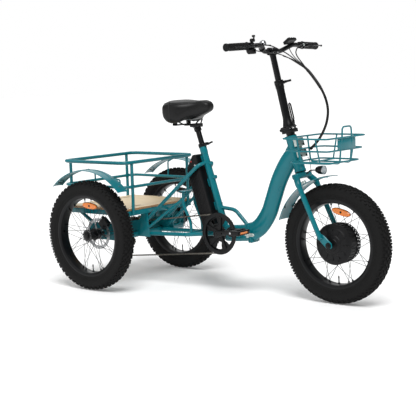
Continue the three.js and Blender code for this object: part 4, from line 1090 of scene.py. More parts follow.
# %% Saddle
def skin(rings):
    """A closed skin over a row of rings of points, bridged in order, with its two ends filled."""
    loops = []
    for ring in rings:
        loops.append(draw([*ring, ring[0]]))
        bpy.ops.mesh.remove_doubles(threshold=1e-6)
        bpy.ops.object.mode_set(mode="OBJECT")
        settle(loops[-1])
    whole = merge(*loops)
    bpy.ops.object.mode_set(mode="EDIT")
    bpy.ops.mesh.select_all(action="SELECT")
    bpy.ops.mesh.bridge_edge_loops()
    bpy.ops.mesh.select_all(action="SELECT")
    bpy.ops.mesh.fill_holes(sides=0)
    bpy.ops.object.mode_set(mode="OBJECT")
    return tidy(whole)


saddle_low, saddle_high = (Vector(c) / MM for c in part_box("saddle"))
STATIONS = [  # along from the back, half width, underside, top
    (0.000, 0.62, 0.26, 0.74), (0.020, 0.82, 0.14, 0.87), (0.07, 0.95, 0.03, 0.96), (0.16, 1.00, 0.00, 1.00),
    (0.30, 0.99, 0.00, 0.985), (0.44, 0.91, 0.01, 0.955), (0.56, 0.72, 0.06, 0.94), (0.67, 0.50, 0.16, 0.95),
    (0.79, 0.37, 0.28, 0.985), (0.89, 0.32, 0.38, 0.965), (0.96, 0.26, 0.44, 0.88), (1.00, 0.15, 0.52, 0.76)]


SKIRT = 24      # how far the sides hang down past the underside, in millimetres


def section(station, count=36):
    t, wide, low, high = station
    span = saddle_high - saddle_low
    x = saddle_low.x + t * span.x
    bottom, top = saddle_low.z + low * span.z, saddle_low.z + high * span.z
    ring = []
    for i in range(count):
        a = 2 * pi * (i + 0.5) / count

        def bulge(v):
            return (1 if v > 0 else -1) * abs(v) ** 0.70

        y = span.y / 2 * wide * bulge(cos(a)) * (1 - 0.10 * (1 - sin(a)) / 2)
        z = (top + bottom) / 2 + (top - bottom) / 2 * bulge(sin(a))
        if sin(a) > 0:      # the top dips along the middle, and its edges roll over
            z -= 5.5 * max(0.0, 1 - abs(y) / 26) * min(1, t * 5) * min(1, (1 - t) * 2.4)
        else:               # its skirts hang below the hollow that the rails run in
            z -= SKIRT * min(1, max(0, abs(y) - 62) / 20) * min(1, t * 9) * max(0, min(1, (0.70 - t) * 4))
        ring.append((x * MM, y * MM, z * MM))
    return ring


def puff(thing, pressure, most, frames=16):
    """Swells a closed cover with a short cloth simulation, and lets no point move further than `most`."""
    still = [v.co.copy() for v in thing.data.vertices]
    pick(thing)
    bpy.ops.object.modifier_add(type="CLOTH")
    cloth = thing.modifiers[-1]
    cloth.settings.quality = 4
    cloth.settings.use_pressure, cloth.settings.uniform_pressure_force = True, pressure
    cloth.settings.effector_weights.gravity = 0
    cloth.point_cache.frame_start, cloth.point_cache.frame_end = 1, frames
    for number in range(1, frames + 1):
        scene.frame_set(number)
    bpy.ops.object.modifier_apply(modifier=cloth.name)
    scene.frame_set(1)
    for vertex, home in zip(thing.data.vertices, still):
        step = vertex.co - home
        if step.length > most * MM:
            vertex.co = home + step.normalized() * most * MM
    return thing


def make_saddle():
    body = skin([section(s) for s in STATIONS])
    modify(body, "SUBSURF", levels=2, render_levels=2)
    modify(body, "REMESH", mode="VOXEL", voxel_size=5 * MM)
    puff(body, 4, 2.5)
    modify(body, "SMOOTH", factor=0.6, iterations=6)
    modify(body, "SUBSURF", levels=1, render_levels=1)
    return dye(body, saddle_vinyl)


saddle = make_saddle()
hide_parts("saddle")
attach(saddle, "seat")
pick(saddle)
saddle.name = saddle.data.name = "saddle_cover_padded"
bpy.ops.object.shade_smooth_by_angle(angle=radians(60))


def blended(t):
    """The section at any share of the length, between the two stations beside it."""
    below = [s for s in STATIONS if s[0] <= t][-1]
    above = [s for s in STATIONS if s[0] > t][0]
    return section([a + (b - a) * (t - below[0]) / (above[0] - below[0]) for a, b in zip(below, above)])


def laid_on_cover(points, out=0.5):
    """Points moved to the nearest place on the saddle's skin and raised by `out` millimetres."""
    found = [saddle.closest_point_on_mesh(p) for p in points]
    return [place + normal * out * MM for _, place, normal, _ in found]


edge_seams = [along(laid_on_cover([blended(0.02 + 0.9 * k / 40)[i] for k in range(41)]), 1.2,
                    3) for i in (4, 13)]
panel_seams = []
for turned in (range(5, -8, -1), range(12, 25)):          # down each flank, from the top edge to the skirt
    path = [blended(0.20 + 0.07 * sin(pi * n / 12))[i % 36] for n, i in enumerate(turned)]
    panel_seams.append(along(laid_on_cover(path), 1.4, 3))
seam_thread = black("seam_piping", (44, 44, 46), 0.45, 0.0, 900, 0.1, 0.0003)
keep(painted(seam_thread, *edge_seams, *panel_seams), "saddle_piping", "seat", angle=60)

# %% [markdown]
# Under it, two steel rails run from the nose to the back, a two-bolt clamp holds them on the post,
# and elastomer bumpers fill the gap at the rear.

# %% Rails, clamp and post
def make_rails():
    top = saddle_low.z - 9
    cx = on(SEAT, 0, 0, 544)[0]
    parts = []
    for y in (-1, 1):
        parts.append(tube([(-162, y * 10, top + 14), (-184, y * 22, top - 14), (-250, y * 22, top - 16),
                           (-290, y * 40, top + 6)], 3.5, 20, 4))
    clamp = block((cx - 25, -28, top - 26), (cx + 17, 28, top - 8), 3.5, 3)
    head = soften(rod(on(SEAT, 0, 0, 522), on(SEAT, 0, 0, 556), 18.5, 32), 1.5 * MM)
    carve(head, rod(on(SEAT, 0, 0, 500), on(SEAT, 0, 0, 556.4), 14, 24))
    bolts = [bolt((cx * MM - 0.004, y * MM, (top - 26) * MM), (0, 0, -1), 5, 5, 3) for y in (-20, 20)]
    yoke = block((-293, -56, top - 18), (-283, 56, top - 11), 1.5)
    bumpers = []
    for y in (-52, 52):
        for k in range(4):
            ring = turn([(0, -2.6), (10.5, -2.6), (12.6, -1), (12.6, 1), (10.5, 2.6), (0, 2.6)], 24,
                        closed=False)
            bumpers.append(settle(ring, Matrix.Translation((-0.288, y * MM, (top - 14 + k * 5.4) * MM))
                                  @ tilted(90, "X")))
    return merge(painted(satin_black, *parts, yoke), painted(satin_black, clamp, head),
                 painted(bright_steel, *bolts), painted(rubber_black, *bumpers))


keep(make_rails(), "saddle_rails_and_clamp", "seat", ["saddle_rails"])

post_tube = dye(soften(rod(on(SEAT, 0, 0, 230), on(SEAT, 0, 0, 556), 13.6, 40), 0.6 * MM), satin_black)
marks = [dye(block((-1.5, -14, z), (1.5, -13.45, z + 0.8), 0), bright_steel) for z in range(360, 430, 10)]
keep(merge(post_tube, *[settle(m, SEAT) for m in marks]), "seat_post_tube", "seat", ["seat_post"])
refined("seat_clamp", "rear_frame", satin_black, 1.0, "seat_clamp_collar", 50)
refined("seat_clamp_lever", "seat_clamp_lever", satin_black, 1.2, "seat_clamp_handle", 50)

# %% [markdown]
# ## Battery
#
# A slim black case slides down behind the seat tube. It has rounded long edges, a parting line
# round its middle, shallow ribs down each side, a carry handle and a charge light at its top.

# %% Battery
def make_battery():
    outline = [(-25, 52), (-25, 407), (-33, 413), (-47, 413), (-98, 366), (-106, 352), (-106, 62), (-96, 52)]
    case = plate(outline, 88, 0, 0)
    soften(case, 9 * MM, 4, 30)
    ribs = [block((x, -45.4, 84), (x + 3.2, 45.4, 330), 1.2) for x in (-92, -82, -72, -62, -52, -42)]
    band = block((-106.5, -45.2, 344), (-24.5, 45.2, 347), 0.8, 1)
    cap = block((-104.5, -34, 56), (-100, 34, 76), 2)
    grip = tube([(-92, -22, 376), (-78, -22, 396), (-78, 22, 396), (-92, 22, 376)], 5, 12, 5)
    body = painted(plastic_black, case, *ribs, band, cap, settle(grip))
    light = dye(settle(cylinder((-0.062, -0.0425, 0.385), (-0.062, -0.0462, 0.385), 4.2, 20)), red_lens)
    socket = dye(soften(cylinder((-0.085, -0.0425, 0.362), (-0.085, -0.0458, 0.362), 7.5, 24), 0.6 * MM),
                 gloss_black)
    key = dye(soften(cylinder((-0.045, -0.0425, 0.36), (-0.045, -0.0462, 0.36), 6, 24), 0.6 * MM),
              bright_steel)
    return settle(merge(body, light, socket, key), SEAT)


keep(make_battery(), "battery_case", "battery", ["battery"])

# %% [markdown]
# ## Cranks, chain and pedals
#
# The chainring is a toothed disc on a five-armed spider with a plain guard outside it. The crank
# arms are forged, with a shallow hollow along their length; the pedals are open moulded platforms
# with an amber reflector on each long side.

# %% Chainring and crank arms
CHAIN_Y, RING_R, CRANK, TEETH = -57, 97, 170, 48
BRACKET = Vector((-0.020, 0, 0.288))
CRANKS = Matrix.Translation(BRACKET) @ tilted(-10, "Y")


def ring_points(radius, count, start=0.0, teeth=0.0):
    """A circle of (x, z) pairs; `teeth` raises every other pair of points by that much."""
    points = []
    for i in range(count):
        reach = radius + (teeth if i % 4 in (1, 2) else 0)
        turned = 2 * pi * i / count + start
        points.append((reach * cos(turned), reach * sin(turned)))
    return points


def make_chainring():
    disc = plate(ring_points(RING_R - 5.0, TEETH * 4, 0, 3.4), 2.4, CHAIN_Y, 0)
    windows = []
    for k in range(5):

        def at(a, r):
            return r * cos(radians(a + 72 * k)), r * sin(radians(a + 72 * k))

        corners = [at(15, 44), at(20, 60), at(20, 76), at(28, 77.5), at(36, 78), at(44, 77.5),
                   at(52, 76), at(52, 60),
                   at(57, 44), at(36, 39)]
        windows.append(plate(corners, 14, CHAIN_Y, 0))
    disc = carve(disc, *windows, cylinder((0, -0.08, 0), (0, -0.04, 0), 12, 32))
    soften(disc, 0.5 * MM, 1)
    guard = turn([(84, CHAIN_Y - 9.4), (85, CHAIN_Y - 9.6), (103, CHAIN_Y - 9.6), (104, CHAIN_Y - 8.8),
                  (104, CHAIN_Y - 6.6), (84, CHAIN_Y - 6.6)], 72)
    spider = []
    for k in range(5):
        a = radians(72 * k)
        arm = plate([(14, -11), (14, 11), (60, 6), (84, 5.5), (84, -5.5), (60, -6)], 4, CHAIN_Y - 4.5, 1.2)
        spider.append(settle(arm, Matrix.Rotation(-a, 4, "Y")))
        spot = Vector((86.5 * cos(a), 0, 86.5 * sin(a))) * MM
        spider.append(rod((spot.x / MM, CHAIN_Y - 9, spot.z / MM), (spot.x / MM, CHAIN_Y + 1, spot.z / MM),
                          3.4, 16))
    screws = [bolt((86.5 * cos(radians(72 * k)) * MM, (CHAIN_Y - 9.4) * MM, 86.5 * sin(radians(72 * k)) * MM),
                   (0, -1, 0), 4.2, 1.6, 2) for k in range(5)]
    return merge(painted(satin_black, disc, guard, *spider), painted(powder_black, *screws))


keep(settle(make_chainring(), CRANKS), "toothed_chainring", "crankset", ["chainring"], 30)


def make_arm(sign, inner):
    y = sign * 84
    outline = [(-15, -11), (-17, 0), (-15, 11), (-9, 16), (6, 17), (24, 13.5), (CRANK - 30, 10.5),
               (CRANK + 4, 11.5),
               (CRANK + 12, 7), (CRANK + 14, 0), (CRANK + 12, -7), (CRANK + 4, -11.5), (CRANK - 30, -10.5),
               (24, -13.5),
               (6, -17), (-9, -16)]
    arm = plate(outline, 14, y, 3.2)
    groove = soften(block((34, y + sign * 5.2 - 2, -4), (CRANK - 22, y + sign * 5.2 + 4, 4), 0), 1.5 * MM, 3)
    carve(arm, groove)
    boss = rod((0, sign * inner, 0), (0, y, 0), 11.5 if sign < 0 else 9, 32)
    pin = rod((CRANK, y, 0), (CRANK, sign * 188, 0), 5, 20)
    cap = bolt((0, (y + sign * 7) * MM, 0), (0, sign, 0), 9, 1.2, 3)
    return merge(painted(satin_black, arm, boss), dye(pin, bright_steel), dye(cap, gloss_black))


keep(settle(make_arm(-1, 41), CRANKS), "right_crank", "crankset", ["crank_arm_right"])
keep(settle(make_arm(1, -40.4), CRANKS @ Matrix.Rotation(pi, 4, "Y")), "left_crank", "crankset",
     ["crank_arm_left"])


# %% Pedals
def make_pedal():
    frame_body = block((-48, -46, -11), (48, 46, 11), 4, 3)
    windows = [block((x - 13, -33, -20), (x + 13, 33, 20), 3, 2) for x in (-25, 25)]
    bore = rod((0, -60, 0), (0, 60, 0), 5.9, 24)
    recesses = [block((sx * 47.2 - 2.5, -28, -5.6), (sx * 47.2 + 2.5, 28, 5.6), 0.8, 1) for sx in (-1, 1)]
    carve(frame_body, *windows, *recesses, bore)
    studs = []
    for x in (-44, -6, 6, 44):
        for y in range(-40, 41, 16):
            for s in (-1, 1):
                studs.append(rod((x, y, s * 10.4), (x, y, s * 12.4), 1.9, 8, 1.4))
    lenses = [block((sx * 46.2 - 1.4, -27.4, -5), (sx * 46.2 + 1.4, 27.4, 5), 0.5, 1) for sx in (-1, 1)]
    return merge(painted(plastic_black, frame_body, *studs), painted(amber, *lenses))


pedal = make_pedal()
for side in ("right", "left"):
    keep(twin(pedal, Matrix.Translation(centre_of(f"pedal_{side}"))), f"{side}_platform_pedal",
         f"pedal_{side}",
         [f"pedal_{side}"])
bpy.data.objects.remove(pedal)

# %% [markdown]
# The chain runs round the chainring and the middle sprocket and back through the two pulleys. Its
# line follows the tangents between them; each link is a pair of waisted plates on two rollers.

# %% Chain, sprockets and changer
COG_R, JOCKEY_R, PITCH = 28.5, 22.5, 12.7
REAR_X, AXLE_Z = -623, 278
GUIDE, TENSION = (-615, 208), (-631, 151)
PULLEYS = [(-20, 288, RING_R, 1), (REAR_X, AXLE_Z, COG_R, 1), (*GUIDE, JOCKEY_R, -1), (*TENSION, JOCKEY_R, 1)]


def belt(pulleys, step=0.03):
    """The closed line of a chain round pulleys (x, z, radius, turn), as (x, z) pairs."""
    legs = []
    for (x1, z1, r1, s1), (x2, z2, r2, s2) in zip(pulleys, pulleys[1:] + pulleys[:1]):
        dx, dz = x2 - x1, z2 - z1
        legs.append(atan2(dz, dx) - pi / 2 + asin((s1 * r1 - s2 * r2) / hypot(dx, dz)))
    line = []
    for i, (x, z, r, s) in enumerate(pulleys):
        start, turned = legs[i - 1], legs[i] - legs[i - 1]
        while s * turned < 0:
            turned += s * 2 * pi
        while s * turned > 2 * pi:
            turned -= s * 2 * pi
        count = max(2, int(abs(turned) / step))
        line += [(x + s * r * cos(start + turned * k / count), z + s * r * sin(start + turned * k / count))
                 for k in range(count + 1)]
    return line


def evenly(line, spacing):
    """Points along a closed line, equally spaced as near to `spacing` as the whole length allows."""
    closed = [Vector(p) for p in line] + [Vector(line[0])]
    lengths = [0.0]
    for a, b in zip(closed, closed[1:]):
        lengths.append(lengths[-1] + (b - a).length)
    count = 2 * round(lengths[-1] / spacing / 2)
    out, k = [], 0
    for i in range(count):
        want = lengths[-1] * i / count
        while lengths[k + 1] < want:
            k += 1
        out.append(closed[k].lerp(closed[k + 1],
                                  (want - lengths[k]) / max(1e-9, lengths[k + 1] - lengths[k])))
    return out


def link(outer):
    half, gap = (3.1, 5.6) if outer else (2.7, 3.4)
    outline = [(-3.4, 0), (-2.6, 2.9), (0, 4.0), (3.4, 2.8), (6.35, 2.3), (9.3, 2.8), (12.7, 4.0),
               (15.3, 2.9), (16.1, 0),
               (15.3, -2.9), (12.7, -4.0), (9.3, -2.8), (6.35, -2.3), (3.4, -2.8), (0, -4.0), (-2.6, -2.9)]
    sides = [plate(outline, 0.9, s * gap / 2, 0) for s in (-1, 1)]
    roller = rod((0, -half, 0), (0, half, 0), 2.1 if outer else 3.4, 10)
    return merge(*sides, roller)


def make_chain():
    points = evenly(belt(PULLEYS), PITCH)
    masters = [dye(link(True), chain_steel), dye(link(False), chain_steel)]
    links = []
    for i, here in enumerate(points):
        ahead = points[(i + 1) % len(points)] - here
        place = moved((here.x, CHAIN_Y, here.y)) @ Matrix.Rotation(
            -atan2(ahead.y, ahead.x), 4, "Y")
        links.append(twin(masters[i % 2], place))
    for master in masters:
        bpy.data.objects.remove(master)
    return merge(*links)


keep(make_chain(), "roller_chain", "rear_frame", ["chain"], 40)


def sprocket(teeth, y, thick=1.8, hole=17):
    outer = teeth * PITCH / (2 * pi)
    disc = plate(ring_points(outer - 3.4, teeth * 4, 0, 4.6), thick, y, 0)
    return carve(disc, rod((0, y - 5, 0), (0, y + 5, 0), hole, 32))


def make_cassette():
    cogs = [sprocket(t, y) for t, y in ((11, -67), (12, -63.6), (14, -57), (18, -47), (20, -42), (23, -37),
                                         (26, -31), (28, -26))]
    drum = turn([(10.5, -69), (17, -69), (17.4, -26), (30, -20), (30, -17), (46, -13), (48, -11), (48, 40),
                 (46, 42),
                 (20, 44), (20, 70), (10.5, 70)], 48)
    case_bolts = [bolt((40 * cos(a) * MM, 0.042, 40 * sin(a) * MM), (0, 1, 0), 3, 2, 2)
                  for a in (2 * pi * k / 6 for k in range(6))]
    return merge(painted(chain_steel, *cogs), dye(drum, cast_silver), painted(bright_steel, *case_bolts))


keep(settle(make_cassette(), Matrix.Translation((REAR_X * MM, 0, AXLE_Z * MM))), "sprockets_and_differential",
     "cassette", ["cassette"], 30)
for body, (x, z) in (("guide_pulley", GUIDE), ("tension_pulley", TENSION)):
    wheel = sprocket(11, 0, 3.2, 4.7)
    keep(dye(settle(wheel, moved((x, CHAIN_Y, z))), plastic_black), f"{body}_toothed",
         body, [body], 30)

# %% [markdown]
# ## Fork, front mudguard and headlight
#
# The fork's crown carries two round legs that bow outwards past the tyre and flatten into dropouts.
# The mudguard is in the same rolled steel as those behind, with a perforated bracket up to the
# crown, and a small lamp with a faceted reflector looks out from under the basket.

# %% Fork
def make_fork():
    base = on(HEAD, 0, 0, -186)
    race = soften(rod(on(HEAD, 0, 0, -172.4), on(HEAD, 0, 0, -198), 22, 40), 1 * MM)
    steerer = rod(on(HEAD, 0, 0, 26), on(HEAD, 0, 0, -192), 14, 32)
    crown = block((-19, -60, -13), (19, 60, 12), 8, 4)
    settle(crown, moved((base[0] + 4, 0, base[2] - 4)) @ tilted(-17.1, "Y"))
    parts, hardware = [race, steerer, crown], []
    for s in (-1, 1):
        path = bend_corners([(base[0] + 4, s * 48, base[2] - 4), (466, s * 74, 552), (584, s * 78, 306)],
                            60, 8)
        parts.append(along(path, 15, 8, taper=lambda t: 1 - 0.24 * max(0, t - 0.55) / 0.45))
        parts.append(plate([(572, 300), (580, 330), (600, 322), (639, 288), (641, 272), (635, 264),
                            (611, 264)],
                           7, s * 70, 2))
        parts.append(weld((584, s * 77, 308), (0.44, 0, -0.9), 11.5, 1.6))
        hardware.append(soften(rod((623, s * 73, 278), (623, s * 79, 278), 13, 6), 1 * MM))
        hardware.append(soften(rod((623, s * 74, 278), (623, s * 75.6, 278), 15, 28), 0.4 * MM))
        hardware.append(soften(rod((623, s * 60, 278), (623, s * 84, 278), 6, 20), 0.8 * MM))
    parts.append(weld(on(HEAD, 0, 0, -196), (-sin(radians(17.1)), 0, cos(radians(17.1))), 21, 1.6))
    return merge(painted(teal, *parts), painted(satin_black, *hardware))


keep(make_fork(), "fork_legs_and_crown", "fork", ["fork"])


def make_front_guard():
    strip = dye(arc(guard_section(311, 42, 3.0), 93, 162), teal)
    spots = [bolt(Vector(angled(313.6, a)) * MM, angled(1, a), 3.6, 1.6, 3) for a in (112, 134)]
    stays = [tube([angled(309, 150, 30 * s), angled(300, 149, 44 * s), angled(312, 146, 39 * s)], 2.2, 6,
                  3) for s in (-1, 1)]
    strap = block((-17, -12, -1.6), (17, 12, 1.6), 0.8)
    carve(strap, *[rod((x, 0, -5), (x, 0, 5), 3.2, 16) for x in (-9, 9)])
    settle(strap, moved(angled(316, 123)) @ tilted(-33, "Y"))
    boss = rod(angled(312, 123), angled(332, 123), 12, 28)
    return settle(merge(strip, painted(bright_steel, *spots), painted(cast_silver, strap, boss),
                        painted(satin_black, *stays)), Matrix.Translation(FRONT))


keep(make_front_guard(), "front_guard", "fork", ["front_mudguard"])


def make_headlight():
    shell = dye(turn([(0, -24), (9, -24), (12, -22), (18, -10), (20, 2), (20.4, 20), (18.8, 21.4),
                      (18.2, 8), (10, -4),
                      (0, -8)], 40, closed=False), gloss_black)
    ring = dye(turn([(18.4, 17), (20.6, 17), (20.6, 21.6), (18.4, 21.6)], 40), bright_steel)
    bowl = dye(turn([(0, -7), (8, -4), (14.5, 5), (17.8, 16)], 18, closed=False), bright_steel)
    lens = dye(turn([(0, 23.5), (8, 23), (14, 21.6), (18.2, 19), (18.2, 17.5), (0, 17.5)], 32,
                    closed=False), clear_lens)
    head = settle(merge(shell, ring, bowl, lens), tilted(-90, "Z"))
    arm = dye(along([Vector(p) * MM for p in ((-76, 0, -20), (-56, 0, -4), (-36, 0, -2), (-16, 0, -2))], 0, 6,
                    section=(8, 3)), satin_black)
    clip = painted(satin_black, block((-24, -7, -7), (-14, 7, 5), 1.2),
                   rod((-19, -9, -1), (-19, 9, -1), 3, 16))
    return settle(merge(head, arm, clip), Matrix.Translation((0.541, 0, 0.614)))


keep(make_headlight(), "headlight_and_arm", "fork", ["headlight"])

# %% [markdown]
# The basket is round wire: three rings that narrow downwards, runs that pass from front to rear under
# the floor, flank wires and a loop to lift it by. A blank painted plate closes its front at the top. Two
# cast clamps hold it on the head tube, each with two bolts.

# %% Basket and its clamps
def make_basket():
    rear, front, half, top, mid, floor = 442, 686, 163, 767, 711, 656
    wires = [hoop(rear, front, half, top, 4, 26), hoop(rear + 8, front - 6, half - 16, mid, 4, 26),
             hoop(rear + 16, front - 14, half - 34, floor, 4, 26)]
    for s in (-1, 1):
        wires.append(tube([(rear, s * 44, top), (rear + 16, s * 44, floor - 6),
                           (front - 12, s * 44, floor - 6),
                           (front, s * 44, top)], 4, 16, 5))
        for t in (0.35, 0.75):
            x = rear + (front - rear) * t
            wires.append(tube([(x, s * half, top), (x, s * (half - 34), floor)], 3.5, 8, 5))
    wires.append(tube([(rear + 100, -half + 34, floor), (rear + 100, half - 34, floor)], 3.5, 8, 5))
    wires.append(tube([(front, -40, top), (front, -36, top + 48), (front, 36, top + 48), (front, 40, top)],
                      4, 18, 5))
    plaque = block((front - 3.5, -74, mid + 2), (front - 0.5, 74, top - 2), 1.2)
    rivets = [bolt(((front - 0.4) * MM, y * MM, z * MM), (1, 0, 0), 2.6, 1,
                   2) for y in (-66, 66) for z in (mid + 9, top - 9)]
    return merge(painted(teal, *wires, plaque), painted(bright_steel, *rivets))


keep(make_basket(), "wire_basket", "front_frame", ["front_basket"])
clamps = dye(refine("basket_bracket", 2.0), cast_silver)
clamp_bolts = []
for z, rise in ((-38, 12), (-92, 11)):
    for y in (-20, 20):
        for lift in (-rise, rise):
            spot = Vector(on(HEAD, 43, y, z + lift)) * MM
            clamp_bolts.append(bolt(spot, (cos(radians(17.1)), 0, sin(radians(17.1))), 4.2, 2.4, 4))
keep(merge(clamps, painted(satin_black, *clamp_bolts)), "basket_clamps", "front_frame", ["basket_bracket"])

# %% [markdown]
# ## Handlebar post
#
# The post hinges on the clamp that grips the steerer. A sprung blade on its left closes the hinge. A
# quick-release collar at its top lets the inner tube slide for height.

# %% Post, latch and riser
def make_post():
    flange = block((-27, -26, 7.4), (27, 30, 14), 3, 3)
    barrels = []
    for a, b in ((-26, -8.4), (8.4, 26)):
        barrels.append(soften(rod((a, -35, 0), (b, -35, 0), 7, 24), 0.8 * MM))
        barrels.append(block((a, -31, 1), (b, -25, 13), 1))
    pin = rod((-27.4, -35, 0), (27.4, -35, 0), 3.2, 16)
    profile = [(15.6, 8), (26.5, 12), (27, 15), (25.6, 22), (22.4, 34), (20, 46), (19, 60), (19, 196),
               (20.4, 197),
               (20.6, 210), (19.8, 212), (15.6, 212)]
    tower = turn(profile, 48)
    settle(tower, tilted(90, "X"))
    ears = [block((s * 11 - 2.5, 28, 1), (s * 11 + 2.5, 40, 19), 1.6) for s in (-1, 1)]
    return settle(merge(painted(satin_black, flange, *barrels, tower, *ears), dye(pin, bright_steel)), POST)


keep(make_post(), "folding_post", "handlebar_post", ["handlebar_post"])


def make_post_latch():
    cam = soften(rod((-7, 0, 0), (7, 0, 0), 6, 28), 0.8 * MM)
    neck = tube([(0, 2, 2), (0, 8, 20), (0, 9, 32)], 6, 14, 6)
    frame_loop = [(0, 9, 30), (-5, 9, 36), (-5, 7, 104), (0, 6, 112), (5, 7, 104), (5, 9, 36), (0, 9, 30)]
    loop = along(bend_corners(frame_loop, 5, 5)[:-1], 3.4, 5, closed=True)
    blade = merge(neck, loop)
    knob = soften(rod((-9, 0, 0), (-7, 0, 0), 4.4, 6), 0.4 * MM)
    return settle(merge(painted(satin_black, cam, blade), dye(knob, bright_steel)),
                  POST @ Matrix.Translation((0, 0.040, 0.012)))


keep(make_post_latch(), "post_latch_blade", "post_latch", ["post_latch"])
refined("post_base", "fork", satin_black, 2.0, "steerer_clamp")
refined("post_clamp", "handlebar_post", satin_black, 1.6, "riser_collar", 40)
refined("post_clamp_lever", "post_clamp_lever", satin_black, 1.2, "riser_collar_lever")


def make_riser():
    inner = soften(rod((0, 0, 118), (0, 0, 360), 14.4, 40), 0.6 * MM)
    clamp = soften(rod((0, -27, 372), (0, 27, 372), 18, 44), 2.4 * MM, 3)
    throat = rod((0, 0, 344), (0, 0, 362), 14.4, 36, 16.8)
    split = block((14, -30, 371), (20, 30, 373), 0)
    body = merge(inner, throat, clamp)
    carve(body, split, rod((0, -40, 372), (0, 40, 372), 12, 36))
    marks = [block((13.2, -2.5, z), (14.55, 2.5, z + 0.8), 0) for z in range(244, 330, 12)]
    screws = [bolt(Vector((17.2, y, 372 + s * 9)) * MM, (1, 0, s * 0.5), 3.2, 2.4,
                   3) for y in (-18, 18) for s in (-1, 1)]
    return settle(merge(dye(body, satin_black), painted(bright_steel, *marks),
                        painted(bright_steel, *screws)),
                  POST)


keep(make_riser(), "riser_and_bar_clamp", "handlebar", ["riser_tube"])

# %% [markdown]
# ## Handlebar and its controls
#
# The bar is level at the clamp, rises at each side and sweeps back six degrees at the grips. Each
# control is made along its own stretch of bar, with +Y outboard, and then set down on it.

# %% Bar and grips
BAR = moved(on(POST, 0, 0, 372))
RADIUS, GRIP_AT, SWEEP = 11, (20, 214, 26), radians(6)


def grip_point(d):
    return (GRIP_AT[0] - d * sin(SWEEP), GRIP_AT[1] + d * cos(SWEEP), GRIP_AT[2] - d * 0.03)


def outboard(sign, d):
    """The place on the bar `d` millimetres along the grip at one side, with its own Y axis along the bar."""
    a, b = (Vector((p[0], p[1] * sign, p[2])) for p in (grip_point(0), grip_point(100)))
    start = grip_point(d)
    turned = Vector((0, sign, 0)).rotation_difference((b - a).normalized()).to_matrix().to_4x4()
    return BAR @ moved((start[0], start[1] * sign, start[2])) @ turned


half_bar = [(0, 62, 0), (26, 128, 29), grip_point(0), grip_point(132)]
bar_corners = [(x, -y, z) for x, y, z in reversed(half_bar)] + half_bar
bar_mesh = settle(tube(bar_corners, RADIUS, 46, 8, 10), BAR)
keep(dye(bar_mesh, satin_black), "swept_bar", "handlebar", ["handlebar"])


def make_grip(sign):
    profile = [(11.9, 0.4), (16.8, 0), (18.2, 1.4), (18.2, 4.5), (15.8, 7)]
    for k in range(12):
        y = 12 + k * 9.4
        profile += [(15.2, y), (15.2, y + 2.2), (16.3, y + 3.4), (16.3, y + 6.6)]
    profile += [(16.2, 129), (18, 132), (18, 138), (16, 140), (0, 140), (0, 136), (11.9, 136)]
    sleeve = turn([(r, sign * y) for r, y in profile], 40, closed=True)
    pads = []
    for k in range(5):
        pad = soften(block((-4, min(sign * 20, sign * 118), 14.6), (4, max(sign * 20, sign * 118), 16.9),
                           0), 0.9 * MM, 2)
        pads.append(settle(pad, Matrix.Rotation(2 * pi * k / 5 + 0.3, 4, "Y")))
    collar = turn([(12, sign * 0.2), (18.6, sign * 0.2), (18.6, sign * 5.4), (12, sign * 5.4)], 36)
    screw = bolt((0, sign * 0.0028, 0.0184), (0, 0, 1), 2.4, 1, 2)
    return merge(painted(rubber_black, sleeve, *pads), dye(collar, satin_black), dye(screw, bright_steel))


# %% Brake perches and levers
def make_perch(sign):
    ring = turn([(12.6, -10), (15.6, -10), (16, -9), (16, 9), (15.6, 10), (12.6, 10)], 40)
    arm = block((13, sign * 4 - 9.5, -8.5), (42, sign * 4 + 9.5, 6.5), 4, 3)
    carve(arm, block((26, -36 if sign < 0 else -11, -5), (60, 11 if sign < 0 else 36, 3), 0))
    clamp = block((-20, -7, -6), (-13, 7, 6), 2.2)
    barrel = rod((26, -sign * 4, 0), (30, -sign * 20, 2), 4, 20, 3)
    adjuster = soften(rod((29, -sign * 12, 1), (31, -sign * 22, 2.4), 5, 10), 0.6 * MM)
    pin = bolt((0.035, sign * 0.005, 0.0066), (0, 0, 1), 3.8, 1.4, 12)
    screws = [bolt((-0.0195, y * MM, 0), (-1, 0, 0), 2.4, 1.2, 3) for y in (-3.6, 3.6)]
    return merge(painted(satin_black, ring, arm, clamp),
                 painted(cast_silver if sign > 0 else satin_black, barrel, adjuster),
                 painted(bright_steel, pin, *screws))


def make_shifter_pod():
    drum = turn([(0, -9.5), (14.5, -9.5), (17, -7), (17, 11), (15, 13.4), (0, 13.4)], 44, closed=False)
    settle(drum, Matrix.Translation((0, 0, -20 * MM)))
    shell = block((-3, -10, -36.5), (27.5, 14, -11.5), 5, 3)
    strap = turn([(13, 9), (15.4, 9), (15.4, 20), (13, 20)], 36)
    tower = block((-5, 9, 12), (5, 20, 24), 1.4)
    hub = soften(rod((0, 9, 24), (0, 20, 24), 9, 32), 1 * MM)
    window = block((5, -10.8, -24), (20, -9.4, -16), 0.6)
    noodle = rod((26, 2, -24), (38, -2, -22), 3.4, 16, 2.8)
    return merge(painted(plastic_black, drum, shell, strap, tower, hub), dye(window, gloss_black),
                 dye(noodle, satin_black))


def make_lever(sign):
    eye = soften(rod((0, 0, -3.2), (0, 0, 3.2), 6, 28), 0.6 * MM)
    path = bend_corners([(0, 0, 0), (18, sign * 22, 0), (20, sign * 60, 0), (9, sign * 128, 0)], 22, 6)
    blade = along(path, 0, 6, section=(3.1, 3.9), taper=lambda t: 1.15 - 0.35 * t)
    bpy.ops.mesh.primitive_uv_sphere_add(segments=24, ring_count=14, radius=5 * MM,
                                         location=(8 * MM, sign * 130 * MM, 0))
    tip = settle(bpy.context.object)
    return merge(eye, blade, tip)


